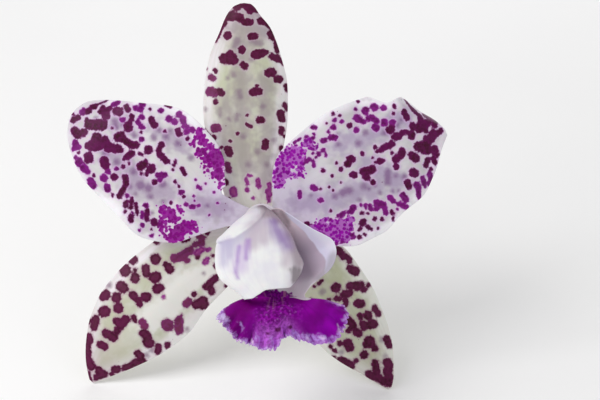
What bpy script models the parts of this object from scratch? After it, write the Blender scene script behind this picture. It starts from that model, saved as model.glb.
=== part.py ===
"""A cattleya orchid bloom, picked with its ovary and pedicel and set down on a level surface.

The bloom is modelled in its own frame: X to the right as the face is seen, Z up the face, Y away
from the viewer, in millimetres from the middle of the receptacle. One empty then leans it back so
that it rests on the tips of its two lateral sepals and on the cut end of its pedicel.
"""

import math

import bmesh
import bpy
from mathutils import Euler, Matrix, Vector

MM = 0.001

# How the picked bloom lies: leaned back by LEAN, with the receptacle above the surface.
LEAN = math.radians(30.0)
RECEPTACLE = Vector((0.00146, 0.00157, 0.0448))

# Sheets are this thick, in mm. The gap keeps neighbours apart where they grow together.
SEPAL_THICK = 1.2
PETAL_THICK = 1.0
LIP_THICK = 0.8
GAP = 0.3

# The receptacle, at the ovary's front end: a neck that carries sepals and petals, and a disc.
NECK_RADIUS = 3.3
DISC_RADIUS = 5.2
DISC_FRONT = -2.4
DISC_BACK = -1.7
SEPAL_SEAT_DEPTH = 1.3
PETAL_SEAT_DEPTH = -0.8

# The column arches forward and down from the disc: its slope below the horizontal, in degrees,
# along its length, and its drift to the right.
COLUMN_LENGTH = 26.0
COLUMN_SLOPE = ((0.0, 0.0), (0.15, 22.0), (1.0, 70.0))
COLUMN_DRIFT = 0.16
ARC_STEPS = 60

# Half width, dorsal height and ventral depth of the column along its length, and how much
# further to the right than the lip it leans.
COLUMN_HALF_WIDTH = ((0.0, 2.9), (3.0, 3.4), (10.0, 4.4), (18.0, 5.0), (22.0, 4.6), (24.6, 3.6))
COLUMN_TOP = ((0.0, 2.9), (4.0, 3.3), (12.0, 3.7), (18.0, 3.4), (22.0, 2.8), (24.6, 2.2))
COLUMN_BOTTOM = ((0.0, -2.9), (6.0, -2.6), (16.0, -2.0), (22.0, -2.3), (24.6, -2.3))
COLUMN_END = 24.6
COLUMN_ASIDE = 0.04

# The anther cap: centre on the column's axis frame, outer half sizes, wall and open side.
CAP_PLACE = (24.4, -0.2)
CAP_SIZE = Vector((2.7, 2.0, 2.1))
CAP_WALL = 0.6
CAP_OPEN = 0.6

# The pollinia: how many, the half sizes of them all together, and the grooves between them.
POLLINIA = 4
POLLINIA_SIZE = Vector((1.7, 0.95, 1.0))
POLLINIA_GROOVE = 0.3
POLLINIA_DEPTH = 0.1

# The lip's side lobes, as sections across the column's axis. Angles run round the axis from the
# keel below it, in degrees. The left lobe folds right over the column as a hood; the right lobe
# stays open and flares. Reach is their half width, and heights are over the axis.
LEFT_REACH = (
    (0.0, 4.3), (3.0, 5.4), (8.0, 9.4), (12.0, 12.5), (14.0, 14.0), (16.0, 14.5),
    (21.0, 15.1), (24.0, 14.4), (26.0, 12.4), (28.0, 10.2), (31.0, 8.2),
)
RIGHT_REACH = (
    (0.0, 4.3), (3.0, 4.9), (8.0, 7.6), (12.0, 11.8), (16.0, 17.1),
    (18.0, 17.4), (20.0, 16.9), (22.0, 15.4), (24.0, 12.4), (26.0, 9.4), (28.0, 7.4),
)
LEFT_SWEEP = (
    (0.0, 176.0), (4.0, 190.0), (8.0, 201.0), (14.0, 206.0), (18.0, 208.0), (21.0, 212.0),
    (24.0, 216.0), (28.0, 222.0),
)
RIGHT_SWEEP = ((0.0, 150.0), (3.0, 132.0), (8.0, 98.0), (14.0, 72.0), (22.0, 62.0), (28.0, 50.0))
KEEL = ((0.0, -4.3), (5.0, -4.7), (14.0, -4.6), (22.0, -3.8), (28.0, -3.0))
HOOD_TOP = ((0.0, 4.5), (4.0, 5.2), (12.0, 5.6), (19.0, 5.2), (25.0, 4.2), (29.0, 3.4))
RIGHT_MARGIN = ((0.0, 3.2), (5.0, 5.2), (12.0, 5.2), (18.0, 4.6), (23.0, 1.8), (28.0, -1.4))

# Where the tube ends: at the isthmus, which is this wide to each side of the keel, in degrees,
# and at the hood's front edge, from its free margin (0) to the isthmus (HOOD_SHARE).
ISTHMUS = 28.3
ISTHMUS_SWEEP = 50.0
HOOD_SHARE = 0.45
HOOD_FRONT = (
    (0.0, 21.6), (0.02, 24.2), (0.04, 26.4), (0.06, 27.6), (0.1, 27.9), (0.15, 28.2), (0.2, 29.4),
    (0.25, 30.2), (0.33, 30.0), (0.45, 29.2), (0.55, 28.4), (0.85, 28.3), (1.0, 28.9),
)

# The hood's crease: how far along the axis it lies at each angle, how far it stands out, as a
# share of the hood's size, and how gently it rises and falls, in mm.
CREASE_LINE = (
    (110.0, 14.2), (129.0, 14.6), (140.0, 14.6), (150.0, 13.6), (160.0, 11.8),
    (165.0, 10.7), (171.0, 9.1), (180.0, 6.1),
)
CREASE_SHARE = 0.09
CREASE_RISE = 4.0
CREASE_FALL = 0.9

# The mid lobe, as a fan from the isthmus: angle from its own midline (left is positive, in
# degrees) and reach. The dip near the middle is the notch between its two wings.
FAN_REACH = (
    (-84.0, 18.2), (-76.0, 19.8), (-60.0, 19.9), (-51.0, 19.2), (-42.0, 17.0), (-27.0, 12.9),
    (-15.0, 10.9), (-8.0, 11.0), (0.0, 13.7), (18.0, 14.7), (30.0, 14.6), (42.0, 15.9),
    (59.0, 16.1), (72.0, 17.3), (84.0, 11.0),
)
FAN_EDGE = 84.0

# How steeply the fan hangs, how far its wings curl and its middle rises, and its frill's height
# and number of waves.
FAN_SLOPE = math.radians(74.0)
FAN_CURL = 3.0
FAN_RISE = 2.6
FRILL_HEIGHT = 1.0
FRILL_WAVES = 12

# Sepals and petals. tip is where the blade ends on the face; upper and lower are the distances
# of its two margins from the straight line to the tip, along its length; rib is the depth of the
# midrib; cup bends both margins back (positive) or forward; wave is the margins' amplitude, count
# and phase; a fold bends one margin back: where along it, how wide, which margin and how deep.
DORSAL_SEPAL = {
    "tip": (-5.6, 61.6),
    "upper": ((0.0, 3.2), (0.05, 6.0), (0.1, 9.2), (0.17, 10.4), (0.32, 12.6), (0.5, 14.0),
              (0.66, 12.8), (0.78, 10.6), (0.88, 7.2), (0.955, 4.6), (0.99, 2.4), (1.0, 0.6)),
    "lower": ((0.0, -2.2), (0.08, -4.2), (0.17, -5.0), (0.33, -7.8), (0.45, -9.6), (0.62, -10.5),
              (0.75, -9.4), (0.87, -7.4), (0.94, -4.6), (0.99, -2.5), (1.0, -0.6)),
    "rib": ((0.0, SEPAL_SEAT_DEPTH), (0.3, 2.0), (0.7, 2.6), (0.93, 1.4), (1.0, 2.2)),
    "cup": ((0.0, -0.3), (0.15, 0.0), (0.35, 1.8), (0.6, 3.0), (0.9, 1.6), (1.0, 0.3)),
    "wave": (0.25, 2.5, 20.0),
    "folds": (),
    "thick": SEPAL_THICK,
}
LATERAL_SEPAL_LEFT = {
    "tip": (-49.0, -45.5),
    "upper": ((0.0, -2.4), (0.1, -5.0), (0.22, -11.6), (0.38, -16.8), (0.55, -17.8),
              (0.68, -17.0), (0.8, -14.1), (0.9, -9.4), (0.965, -4.6), (1.0, -0.6)),
    "lower": ((0.0, 1.6), (0.12, 4.4), (0.28, 6.6), (0.42, 7.2), (0.56, 8.9), (0.68, 8.1),
              (0.82, 5.5), (0.92, 2.9), (1.0, 0.6)),
    "rib": ((0.0, SEPAL_SEAT_DEPTH), (0.1, 2.7), (0.3, 3.7), (0.7, 5.8), (1.0, 9.0)),
    "cup": ((0.0, 0.5), (0.3, 1.4), (0.65, 2.4), (1.0, 0.2)),
    "wave": (0.35, 2.0, 70.0),
    "folds": (),
    "thick": SEPAL_THICK,
}
LATERAL_SEPAL_RIGHT = {
    "tip": (36.1, -47.3),
    "upper": ((0.0, 3.0), (0.1, 5.0), (0.22, 10.6), (0.36, 14.2), (0.53, 13.8), (0.68, 11.9),
              (0.81, 9.2), (0.92, 5.2), (0.975, 2.4), (1.0, 0.6)),
    "lower": ((0.0, -1.6), (0.12, -4.0), (0.3, -6.6), (0.46, -8.2), (0.63, -8.6), (0.74, -7.2),
              (0.86, -4.2), (0.95, -1.9), (1.0, -0.6)),
    "rib": ((0.0, SEPAL_SEAT_DEPTH), (0.1, 2.7), (0.3, 4.6), (0.65, 8.0), (0.85, 7.7),
            (1.0, 6.25)),
    "cup": ((0.0, 0.5), (0.3, 1.4), (0.65, 2.2), (1.0, 0.2)),
    "wave": (0.35, 2.0, 200.0),
    "folds": (),
    "thick": SEPAL_THICK,
}
PETAL_LEFT = {
    "tip": (-54.0, 29.4),
    "upper": ((0.0, -2.0), (0.1, -1.5), (0.17, -1.6), (0.23, -5.0), (0.29, -10.6), (0.38, -14.2),
              (0.56, -16.9), (0.77, -12.4), (0.89, -9.4), (0.965, -6.4), (0.993, -3.2), (1.0, -0.8)),
    "lower": ((0.0, 2.0), (0.08, 3.6), (0.16, 7.6), (0.23, 12.0), (0.31, 17.0), (0.46, 19.8),
              (0.58, 17.8), (0.8, 13.6), (0.92, 8.5), (0.975, 4.6), (1.0, 0.8)),
    "rib": ((0.0, PETAL_SEAT_DEPTH), (0.2, -1.4), (0.5, -2.6), (0.8, -1.4), (1.0, 1.4)),
    "cup": ((0.0, 0.0), (0.3, -0.4), (0.6, 1.0), (0.85, 1.6), (1.0, 0.4)),
    "wave": (1.15, 3.2, 10.0),
    "folds": ((0.92, 0.07, 1.0, 1.8), (0.2, 0.06, 1.0, -1.2)),
    "thick": PETAL_THICK,
}
PETAL_RIGHT = {
    "tip": (51.6, 25.2),
    "upper": ((0.0, 2.0), (0.08, 4.0), (0.15, 11.2), (0.22, 15.2), (0.32, 17.2), (0.54, 19.6),
              (0.72, 18.8), (0.81, 14.6), (0.865, 14.6), (0.93, 8.8), (0.98, 4.2), (1.0, 0.8)),
    "lower": ((0.0, -2.0), (0.08, -4.0), (0.175, -10.0), (0.28, -15.3), (0.39, -17.6),
              (0.5, -17.6), (0.64, -14.8), (0.76, -13.2), (0.86, -9.0), (0.94, -3.9), (1.0, -0.8)),
    "rib": ((0.0, PETAL_SEAT_DEPTH), (0.2, -1.4), (0.5, -2.4), (0.8, -1.6), (1.0, 1.0)),
    "cup": ((0.0, 0.0), (0.3, -0.4), (0.6, 0.8), (0.85, 1.0), (1.0, 0.4)),
    "wave": (1.25, 3.6, 150.0),
    "folds": ((0.93, 0.06, 1.0, 2.8), (0.85, 0.025, 1.0, -1.4), (0.84, 0.07, -1.0, 1.4)),
    "thick": PETAL_THICK,
}

# Rows along a blade and columns across it; the lip's tube rows, mid lobe rows, and gaps across
# hood and isthmus; the mid lobe row from which it has twice as many columns; and how closely a
# blade's rows crowd towards its tip.
SEPAL_GRID = (20, 10)
PETAL_GRID = (24, 16)
LIP_GRID = (18, 12, 16, 24)
LIP_FINER_FROM = 3
TIP_CROWDING = 1.5

# The ovary and pedicel: the path's Bezier points after the neck, and radii along the path.
STEM_PATH = (
    Vector((0.0, 4.0, 0.0)),
    Vector((0.0, 20.0, 0.0)),
    Vector((1.0, 37.0, -11.0)),
    Vector((2.4, 49.62, -22.2)),
)
STEM_RADIUS = (
    (0.0, 3.3), (0.1, 3.2), (0.35, 2.9), (0.55, 2.2), (0.75, 1.9), (0.94, 2.0), (1.0, 2.3),
)
STEM_RIDGE = ((0.0, 0.1), (0.12, 0.34), (0.42, 0.3), (0.7, 0.12), (1.0, 0.04))
STEM_RIDGES = 6
STEM_SIDES = 24
STEM_RINGS = 18

COLUMN_RINGS = 14
COLUMN_SIDES = 20


def clear_scene():
    for obj in list(bpy.data.objects):
        bpy.data.objects.remove(obj, do_unlink=True)


def collection(name):
    made = bpy.data.collections.new(name)
    bpy.context.scene.collection.children.link(made)
    return made


def material(name, colour, roughness):
    made = bpy.data.materials.new(name)
    made.use_nodes = True
    shader = made.node_tree.nodes["Principled BSDF"]
    shader.inputs["Base Color"].default_value = (*colour, 1.0)
    shader.inputs["Roughness"].default_value = roughness
    shader.inputs["Metallic"].default_value = 0.0
    return made


def along(points, x):
    """The value at x of a smooth curve through (x, value) points, with no overshoot."""
    if x <= points[0][0]:
        return points[0][1]
    if x >= points[-1][0]:
        return points[-1][1]
    i = max(k for k in range(len(points) - 1) if points[k][0] <= x)
    rises = [(b[1] - a[1]) / (b[0] - a[0]) for a, b in zip(points, points[1:])]

    def slope(k):
        if k == 0:
            return rises[0]
        if k == len(points) - 1:
            return rises[-1]
        before, after = rises[k - 1], rises[k]
        return 0.0 if before * after <= 0 else 2 * before * after / (before + after)

    (x0, y0), (x1, y1) = points[i], points[i + 1]
    span = x1 - x0
    f = (x - x0) / span
    g = 1 - f
    return (
        y0 * g * g * (1 + 2 * f)
        + y1 * f * f * (3 - 2 * f)
        + span * f * g * (g * slope(i) - f * slope(i + 1))
    )


def ease(low, high, x):
    f = min(max((x - low) / (high - low), 0.0), 1.0)
    return f * f * (3 - 2 * f)


def new_object(name, bm, mat, group, axis):
    """The object of a bmesh in millimetres, parented to the bloom's axis."""
    bmesh.ops.scale(bm, vec=(MM, MM, MM), verts=bm.verts)
    mesh = bpy.data.meshes.new(name)
    bm.to_mesh(mesh)
    bm.free()
    mesh.materials.append(mat)
    mesh.shade_smooth()
    obj = bpy.data.objects.new(name, mesh)
    group.objects.link(obj)
    obj.parent = axis
    return obj


def sheet(surface, rows, columns):
    """A triangulated open sheet: surface(u, v) with u from 0 to 1 and v from -1 to 1."""
    bm = bmesh.new()
    bmesh.ops.create_grid(bm, x_segments=rows, y_segments=columns, size=1.0)
    for vert in bm.verts:
        vert.co = surface((vert.co.x + 1) / 2, vert.co.y)
    bmesh.ops.triangulate(bm, faces=bm.faces)
    return bm


def tube(surface, rows, columns):
    """A closed loft: surface(u, turn) with turn from 0 to 1 round it, and both ends capped."""
    bm = bmesh.new()
    bmesh.ops.create_grid(bm, x_segments=rows, y_segments=columns, size=1.0)
    for vert in bm.verts:
        vert.co = surface((vert.co.x + 1) / 2, (vert.co.y + 1) / 2)
    bmesh.ops.remove_doubles(bm, verts=bm.verts, dist=1e-4)
    bmesh.ops.holes_fill(bm, edges=[e for e in bm.edges if e.is_boundary])
    bmesh.ops.triangulate(bm, faces=bm.faces)
    bmesh.ops.recalc_face_normals(bm, faces=bm.faces)
    return bm


def thicken(obj, thickness):
    wall = obj.modifiers.new("Thickness", "SOLIDIFY")
    wall.thickness = thickness * MM
    wall.offset = 0.0


def boolean(obj, operation, other):
    made = obj.modifiers.new(operation.title(), "BOOLEAN")
    made.operation = operation
    made.object = other
    made.solver = "EXACT"


def blade_point(spec, t, w):
    """A point of a blade's middle sheet. t runs from base to tip, w from margin to margin."""
    tip = Vector((spec["tip"][0], 0.0, spec["tip"][1]))
    length = tip.length
    forward = tip / length
    side = Vector((-forward.z, 0.0, forward.x))
    upper, lower = along(spec["upper"], t), along(spec["lower"], t)
    across = (upper + lower) / 2 + w * (upper - lower) / 2
    seat = math.sqrt(max((NECK_RADIUS + GAP) ** 2 - across**2, 0.0))
    reach = seat * (1 - t) + length * t
    amplitude, count, phase = spec["wave"]
    margin = max(0.0, (abs(w) - 0.3) / 0.7) ** 2
    turn = math.tau * count * t + math.radians(phase) + (1.9 if w > 0 else 0.0)
    depth = along(spec["rib"], t) + along(spec["cup"], t) * w * w
    depth += amplitude * margin * ease(0.2, 0.45, t) * math.sin(turn)
    for where, width, edge, bend in spec["folds"]:
        depth += bend * math.exp(-((t - where) / width) ** 2) * max(0.0, w * edge) ** 2.5
    return forward * reach + side * across + Vector((0.0, depth, 0.0))


def blade(name, spec, grid, mat, group, axis):
    def surface(u, v):
        return blade_point(spec, 1 - (1 - u) ** TIP_CROWDING, v)

    obj = new_object(name, sheet(surface, *grid), mat, group, axis)
    thicken(obj, spec["thick"])
    return obj


def arch(s):
    """(place, forward, up) on the column's axis, s mm from the disc."""
    place = Vector((0.0, DISC_FRONT - GAP, 0.0))
    step = s / ARC_STEPS
    for i in range(ARC_STEPS):
        slope = math.radians(along(COLUMN_SLOPE, (i + 0.5) * step / COLUMN_LENGTH))
        place += Vector((COLUMN_DRIFT, -math.cos(slope), -math.sin(slope))) * step
    slope = math.radians(along(COLUMN_SLOPE, s / COLUMN_LENGTH))
    forward = Vector((0.0, -math.cos(slope), -math.sin(slope)))
    up = Vector((0.0, -math.sin(slope), math.cos(slope)))
    return place, forward, up


def side_lobe_point(s, angle):
    """A point of the lip round the column, s mm along it, left is a negative angle."""
    place, _, up = arch(s)
    keel = along(KEEL, s)
    turn = math.radians(abs(angle))
    if angle < 0:
        half_height = (along(HOOD_TOP, s) - keel) / 2
        out = 1 + crease(s, -angle)
        across = -along(LEFT_REACH, s) * math.sin(turn) * out
        height = keel + half_height - half_height * math.cos(turn) * out
    else:
        sweep = math.radians(along(RIGHT_SWEEP, s))
        across = along(RIGHT_REACH, s) / math.sin(min(sweep, math.pi / 2)) * math.sin(turn)
        rise = along(RIGHT_MARGIN, s) - keel
        height = keel + rise * (1 - math.cos(turn)) / (1 - math.cos(sweep))
    return place + Vector((across, 0.0, 0.0)) + up * height


def crease(s, angle):
    """How far the hood stands out at its crease, as a share of its size."""
    past = s - along(CREASE_LINE, angle)
    swell = math.exp(past / CREASE_RISE) if past < 0 else math.exp(-past / CREASE_FALL)
    return CREASE_SHARE * ease(102.0, 116.0, angle) * ease(184.0, 172.0, angle) * swell


def lip_angle(s, w):
    """The angle of the lip's column line w, from 0 at the hood's free margin to 1 at the right."""
    left, right = -along(LEFT_SWEEP, s), along(RIGHT_SWEEP, s)
    even = left + (right - left) * w
    if w < HOOD_SHARE:
        crowded = left + (-ISTHMUS_SWEEP - left) * w / HOOD_SHARE
    else:
        past_hood = (w - HOOD_SHARE) / (1 - HOOD_SHARE)
        crowded = -ISTHMUS_SWEEP + (right + ISTHMUS_SWEEP) * past_hood
    return even + (crowded - even) * ease(0.0, 0.85 * ISTHMUS, s)


def tube_point(u, w):
    """A point of the lip's tube. Its front rim is the hood's margin, then the isthmus."""
    s = along(HOOD_FRONT, w) * (1 - (1 - u) ** 1.25)
    return side_lobe_point(s, lip_angle(s, w))


def mid_lobe_point(f, v):
    """A point of the mid lobe: f from the isthmus to its frilled margin, v from left to right."""
    root = tube_point(1.0, HOOD_SHARE + (1 - HOOD_SHARE) * (v + 1) / 2)
    centre = side_lobe_point(ISTHMUS, 0.0)
    angle = -FAN_EDGE * v
    reach = along(FAN_REACH, angle)
    turn = math.radians(angle)
    down = Vector((0.0, -math.cos(FAN_SLOPE), -math.sin(FAN_SLOPE)))
    front = Vector((0.0, -math.sin(FAN_SLOPE), math.cos(FAN_SLOPE)))
    edge = centre + down * (reach * math.cos(turn)) - Vector((reach * math.sin(turn), 0.0, 0.0))
    frill = FRILL_HEIGHT * ease(0.45, 1.0, f) * math.sin(FRILL_WAVES * math.pi * v)
    wing = FAN_CURL * math.sin(math.pi * f) ** 2 * (0.35 + 0.65 * math.cos(2 * turn) ** 2)
    rise = FAN_RISE * math.sin(math.pi * min(1.0, 1.25 * f)) ** 2 * math.cos(turn)
    return root.lerp(edge, f) + front * (rise + 0.6 * wing + frill - 0.5 * FAN_CURL * f * f)


def weave(bm, rows):
    """Faces between rows of vertices. A row may have twice as many gaps as the row before it."""
    for near, far in zip(rows, rows[1:]):
        for i in range(len(near) - 1):
            a, b = near[i], near[i + 1]
            if len(far) == len(near):
                bm.faces.new((a, b, far[i + 1], far[i]))
            else:
                left, middle, right = far[2 * i:2 * i + 3]
                bm.faces.new((a, middle, left))
                bm.faces.new((a, b, middle))
                bm.faces.new((b, right, middle))


def lip(mat, group, axis):
    """The tube round the column and the mid lobe, woven as one sheet."""
    tube_rows, fan_rows, hood_gaps, fan_gaps = LIP_GRID
    gaps = hood_gaps + fan_gaps
    bm = bmesh.new()
    rows = []
    for i in range(tube_rows + 1):
        shares = [share(j, hood_gaps, fan_gaps) for j in range(gaps + 1)]
        rows.append([bm.verts.new(tube_point(i / tube_rows, w)) for w in shares])
    weave(bm, rows)
    fan = [rows[-1][hood_gaps:]]
    for i in range(1, fan_rows + 1):
        count = fan_gaps if i < LIP_FINER_FROM else 2 * fan_gaps
        across = [2 * j / count - 1 for j in range(count + 1)]
        fan.append([bm.verts.new(mid_lobe_point(i / fan_rows, v)) for v in across])
    weave(bm, fan)
    bmesh.ops.triangulate(bm, faces=bm.faces)
    obj = new_object("lip", bm, mat, group, axis)
    thicken(obj, LIP_THICK)
    return obj


def share(j, hood_gaps, fan_gaps):
    """Where column line j of the lip lies between its margins, from 0 to 1."""
    if j <= hood_gaps:
        return HOOD_SHARE * j / hood_gaps
    return HOOD_SHARE + (1 - HOOD_SHARE) * (j - hood_gaps) / fan_gaps


def column_point(u, turn):
    s = COLUMN_END * (1 - (1 - u) ** 1.3)
    place, _, up = arch(s)
    angle = math.tau * turn
    height = along(COLUMN_TOP, s) if math.sin(angle) > 0 else -along(COLUMN_BOTTOM, s)
    across = Vector((along(COLUMN_HALF_WIDTH, s) * math.cos(angle) + COLUMN_ASIDE * s, 0.0, 0.0))
    return place + across + up * (height * math.sin(angle))


def cap_frame():
    """The anther cap's own frame: X across, Y up from the axis, Z along the column."""
    s, lift = CAP_PLACE
    place, forward, up = arch(s)
    across = up.cross(forward)
    turned = Matrix((across, up, forward)).transposed().to_4x4()
    return Matrix.Translation(place + up * lift + across * (COLUMN_ASIDE * s)) @ turned


def ball(sizes, segments, rings, matrix):
    bm = bmesh.new()
    bmesh.ops.create_uvsphere(bm, u_segments=segments, v_segments=rings, radius=1.0)
    bmesh.ops.transform(bm, matrix=matrix @ Matrix.Diagonal((*sizes, 1.0)), verts=bm.verts)
    bmesh.ops.triangulate(bm, faces=bm.faces)
    return bm


def column(mat, group, cutters, axis):
    obj = new_object("column", tube(column_point, COLUMN_RINGS, COLUMN_SIDES), mat, group, axis)
    pocket = ball(CAP_SIZE + Vector((GAP, GAP, GAP)), 16, 10, cap_frame())
    boolean(obj, "DIFFERENCE", helper("anther_pocket", pocket, mat, cutters, axis))
    return obj


def helper(name, bm, mat, cutters, axis):
    obj = new_object(name, bm, mat, cutters, axis)
    obj.hide_render = True
    obj.display_type = "WIRE"
    return obj


def anther_cap(mat, group, cutters, axis):
    frame = cap_frame()
    obj = new_object("anther_cap", ball(CAP_SIZE, 16, 10, frame), mat, group, axis)
    inner = ball(CAP_SIZE - Vector((CAP_WALL, CAP_WALL, CAP_WALL)), 16, 10, frame)
    boolean(obj, "DIFFERENCE", helper("anther_hollow", inner, mat, cutters, axis))
    bm = bmesh.new()
    place = Matrix.Translation((0.0, 0.0, -CAP_OPEN - CAP_SIZE.z))
    size = Matrix.Diagonal((4 * CAP_SIZE.y, 4 * CAP_SIZE.y, 2 * CAP_SIZE.z, 1.0))
    bmesh.ops.create_cube(bm, size=1.0, matrix=frame @ place @ size)
    boolean(obj, "DIFFERENCE", helper("anther_mouth", bm, mat, cutters, axis))
    return obj


def pollinia(mat, group, axis):
    """Four waxy pollen masses, pressed together side by side under the cap."""
    bm = bmesh.new()
    bmesh.ops.create_uvsphere(bm, u_segments=12, v_segments=16, radius=1.0)
    for vert in bm.verts:
        groove = 1 - POLLINIA_GROOVE * (1 + math.cos(POLLINIA * math.pi * vert.co.z)) / 2
        across = vert.co.z * POLLINIA_SIZE.x
        up = vert.co.y * groove * POLLINIA_SIZE.y
        out = vert.co.x * groove * POLLINIA_SIZE.z
        vert.co = Vector((across, up, out + POLLINIA_DEPTH))
    bmesh.ops.transform(bm, matrix=cap_frame(), verts=bm.verts)
    bmesh.ops.triangulate(bm, faces=bm.faces)
    bmesh.ops.recalc_face_normals(bm, faces=bm.faces)
    return new_object("pollinia", bm, mat, group, axis)


def stem_point(q, turn):
    """The skin of neck, ovary and pedicel. q below 0 is the straight neck."""
    a, b, c, d = STEM_PATH
    g = 1 - q
    place = a * g**3 + b * (3 * g * g * q) + c * (3 * g * q * q) + d * q**3
    forward = ((b - a) * (g * g) + (c - b) * (2 * g * q) + (d - c) * (q * q)).normalized()
    across = Vector((0.0, 0.0, 1.0)).cross(forward).normalized()
    up = forward.cross(across)
    angle = math.tau * turn
    ridge = along(STEM_RIDGE, q) * math.cos(STEM_RIDGES * angle)
    radius = along(STEM_RADIUS, q) + ridge
    return place + across * (radius * math.cos(angle)) + up * (radius * math.sin(angle))


def ovary(mat, group, axis):
    neck = (
        (DISC_FRONT, DISC_RADIUS - 0.3), (DISC_FRONT + 0.25, DISC_RADIUS),
        (DISC_BACK, DISC_RADIUS - 0.2), (DISC_BACK + 0.05, NECK_RADIUS), (1.5, NECK_RADIUS),
    )
    rings = len(neck) + STEM_RINGS

    def surface(u, turn):
        i = round(u * rings)
        if i < len(neck):
            depth, radius = neck[i]
            angle = math.tau * turn
            return Vector((-radius * math.cos(angle), depth, radius * math.sin(angle)))
        return stem_point((i - len(neck)) / STEM_RINGS, turn)

    return new_object("ovary_and_pedicel", tube(surface, rings, STEM_SIDES), mat, group, axis)


def main():
    clear_scene()
    group = collection("cattleya_bloom")
    cutters = collection("cutters")
    axis = bpy.data.objects.new("bloom_axis", None)
    group.objects.link(axis)
    axis.rotation_euler = Euler((-LEAN, 0.0, 0.0))
    axis.location = RECEPTACLE

    ivory = material("sepal_ivory", (0.78, 0.80, 0.66), 0.42)
    white = material("petal_white", (0.86, 0.82, 0.88), 0.45)
    purple = material("lip_purple", (0.42, 0.02, 0.44), 0.5)
    waxy = material("column_white", (0.90, 0.87, 0.90), 0.38)
    cream = material("anther_cream", (0.93, 0.90, 0.84), 0.4)
    yellow = material("pollinia_yellow", (0.90, 0.72, 0.18), 0.35)
    green = material("pedicel_green", (0.48, 0.54, 0.26), 0.5)

    blade("dorsal_sepal", DORSAL_SEPAL, SEPAL_GRID, ivory, group, axis)
    blade("lateral_sepal_left", LATERAL_SEPAL_LEFT, SEPAL_GRID, ivory, group, axis)
    blade("lateral_sepal_right", LATERAL_SEPAL_RIGHT, SEPAL_GRID, ivory, group, axis)
    blade("petal_left", PETAL_LEFT, PETAL_GRID, white, group, axis)
    blade("petal_right", PETAL_RIGHT, PETAL_GRID, white, group, axis)
    lip(purple, group, axis)
    column(waxy, group, cutters, axis)
    anther_cap(cream, group, cutters, axis)
    pollinia(yellow, group, axis)
    ovary(green, group, axis)


main()
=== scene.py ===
"""The looks of the picked cattleya bloom: fine shells for its blades and lip, their markings,
waxy procedural materials, a pale floor, soft studio light and the camera.

Shapes are worked out in the bloom's own frame, as in the part: X to the right as the face is
seen, Z up the face, Y away from the viewer, in millimetres from the middle of the receptacle.
"""

import itertools
import math

import bmesh
import bpy
import numpy as np
from mathutils import Euler, Matrix, Vector
from mathutils.kdtree import KDTree


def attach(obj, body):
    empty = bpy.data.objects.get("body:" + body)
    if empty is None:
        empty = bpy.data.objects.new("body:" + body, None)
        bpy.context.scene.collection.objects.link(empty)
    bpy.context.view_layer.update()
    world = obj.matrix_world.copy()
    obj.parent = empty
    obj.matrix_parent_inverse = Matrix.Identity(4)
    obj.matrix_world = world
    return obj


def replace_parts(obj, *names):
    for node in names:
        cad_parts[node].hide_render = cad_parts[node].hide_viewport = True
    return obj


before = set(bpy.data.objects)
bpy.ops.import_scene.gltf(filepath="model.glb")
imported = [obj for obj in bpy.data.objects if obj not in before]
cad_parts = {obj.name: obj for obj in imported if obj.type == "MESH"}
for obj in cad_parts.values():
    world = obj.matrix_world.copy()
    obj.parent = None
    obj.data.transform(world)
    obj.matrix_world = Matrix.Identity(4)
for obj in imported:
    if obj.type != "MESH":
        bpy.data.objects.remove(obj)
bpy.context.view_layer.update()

MM = 0.001
SEED = 20

# How the picked bloom lies, as in the part.
LEAN = math.radians(30.0)
RECEPTACLE = Vector((0.00146, 0.00157, 0.0448))
BLOOM = Matrix.Translation(RECEPTACLE) @ Euler((-LEAN, 0.0, 0.0)).to_matrix().to_4x4()

# The camera, in the bloom's own frame, in metres, and the frame that marks are placed in.
CAMERA_PLACE = Vector((0.0106, -0.467, 0.0062))
CAMERA_LENS = 100.0
SENSOR = 36.0
PICTURE = (600, 400)
PIXEL_MM = 0.28

# How thick the blades and the lip are at their middles, and the play between pieces, in mm.
SEPAL_THICK = 1.2
PETAL_THICK = 1.0
LIP_THICK = 0.8
GAP = 0.3

# The receptacle, at the ovary's front end: a neck that carries sepals and petals, and a disc.
NECK_RADIUS = 3.3
DISC_RADIUS = 5.2
DISC_FRONT = -2.4
DISC_BACK = -1.7
SEPAL_SEAT_DEPTH = 1.3
PETAL_SEAT_DEPTH = -0.8

# The neck's profile from the disc's front to the ovary, as (depth, radius).
NECK = (
    (DISC_FRONT, DISC_RADIUS - 0.6), (DISC_FRONT + 0.08, DISC_RADIUS - 0.25),
    (DISC_FRONT + 0.3, DISC_RADIUS), (DISC_BACK - 0.1, DISC_RADIUS - 0.1),
    (DISC_BACK, DISC_RADIUS - 0.4), (DISC_BACK + 0.05, NECK_RADIUS + 0.1),
    (DISC_BACK + 0.4, NECK_RADIUS), (1.5, NECK_RADIUS),
)

# The column arches forward and down from the disc: its slope below the horizontal, in degrees,
# along its length, its drift to the right, and then its half width, dorsal height and ventral
# depth, and how much further to the right than the lip it leans.
COLUMN_LENGTH = 26.0
COLUMN_SLOPE = ((0, 0), (0.15, 22), (1, 70))
COLUMN_DRIFT = 0.16
ARC_STEPS = 60
COLUMN_HALF_WIDTH = ((0, 2.9), (3, 3.4), (10, 4.4), (18, 5), (22, 4.6), (24.6, 3.6))
COLUMN_TOP = ((0, 2.9), (4, 3.3), (12, 3.7), (18, 3.4), (22, 2.8), (24.6, 2.2))
COLUMN_BOTTOM = ((0, -2.9), (6, -2.6), (16, -2), (22, -2.3), (24.6, -2.3))
COLUMN_END = 24.6
COLUMN_ASIDE = 0.04

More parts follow.
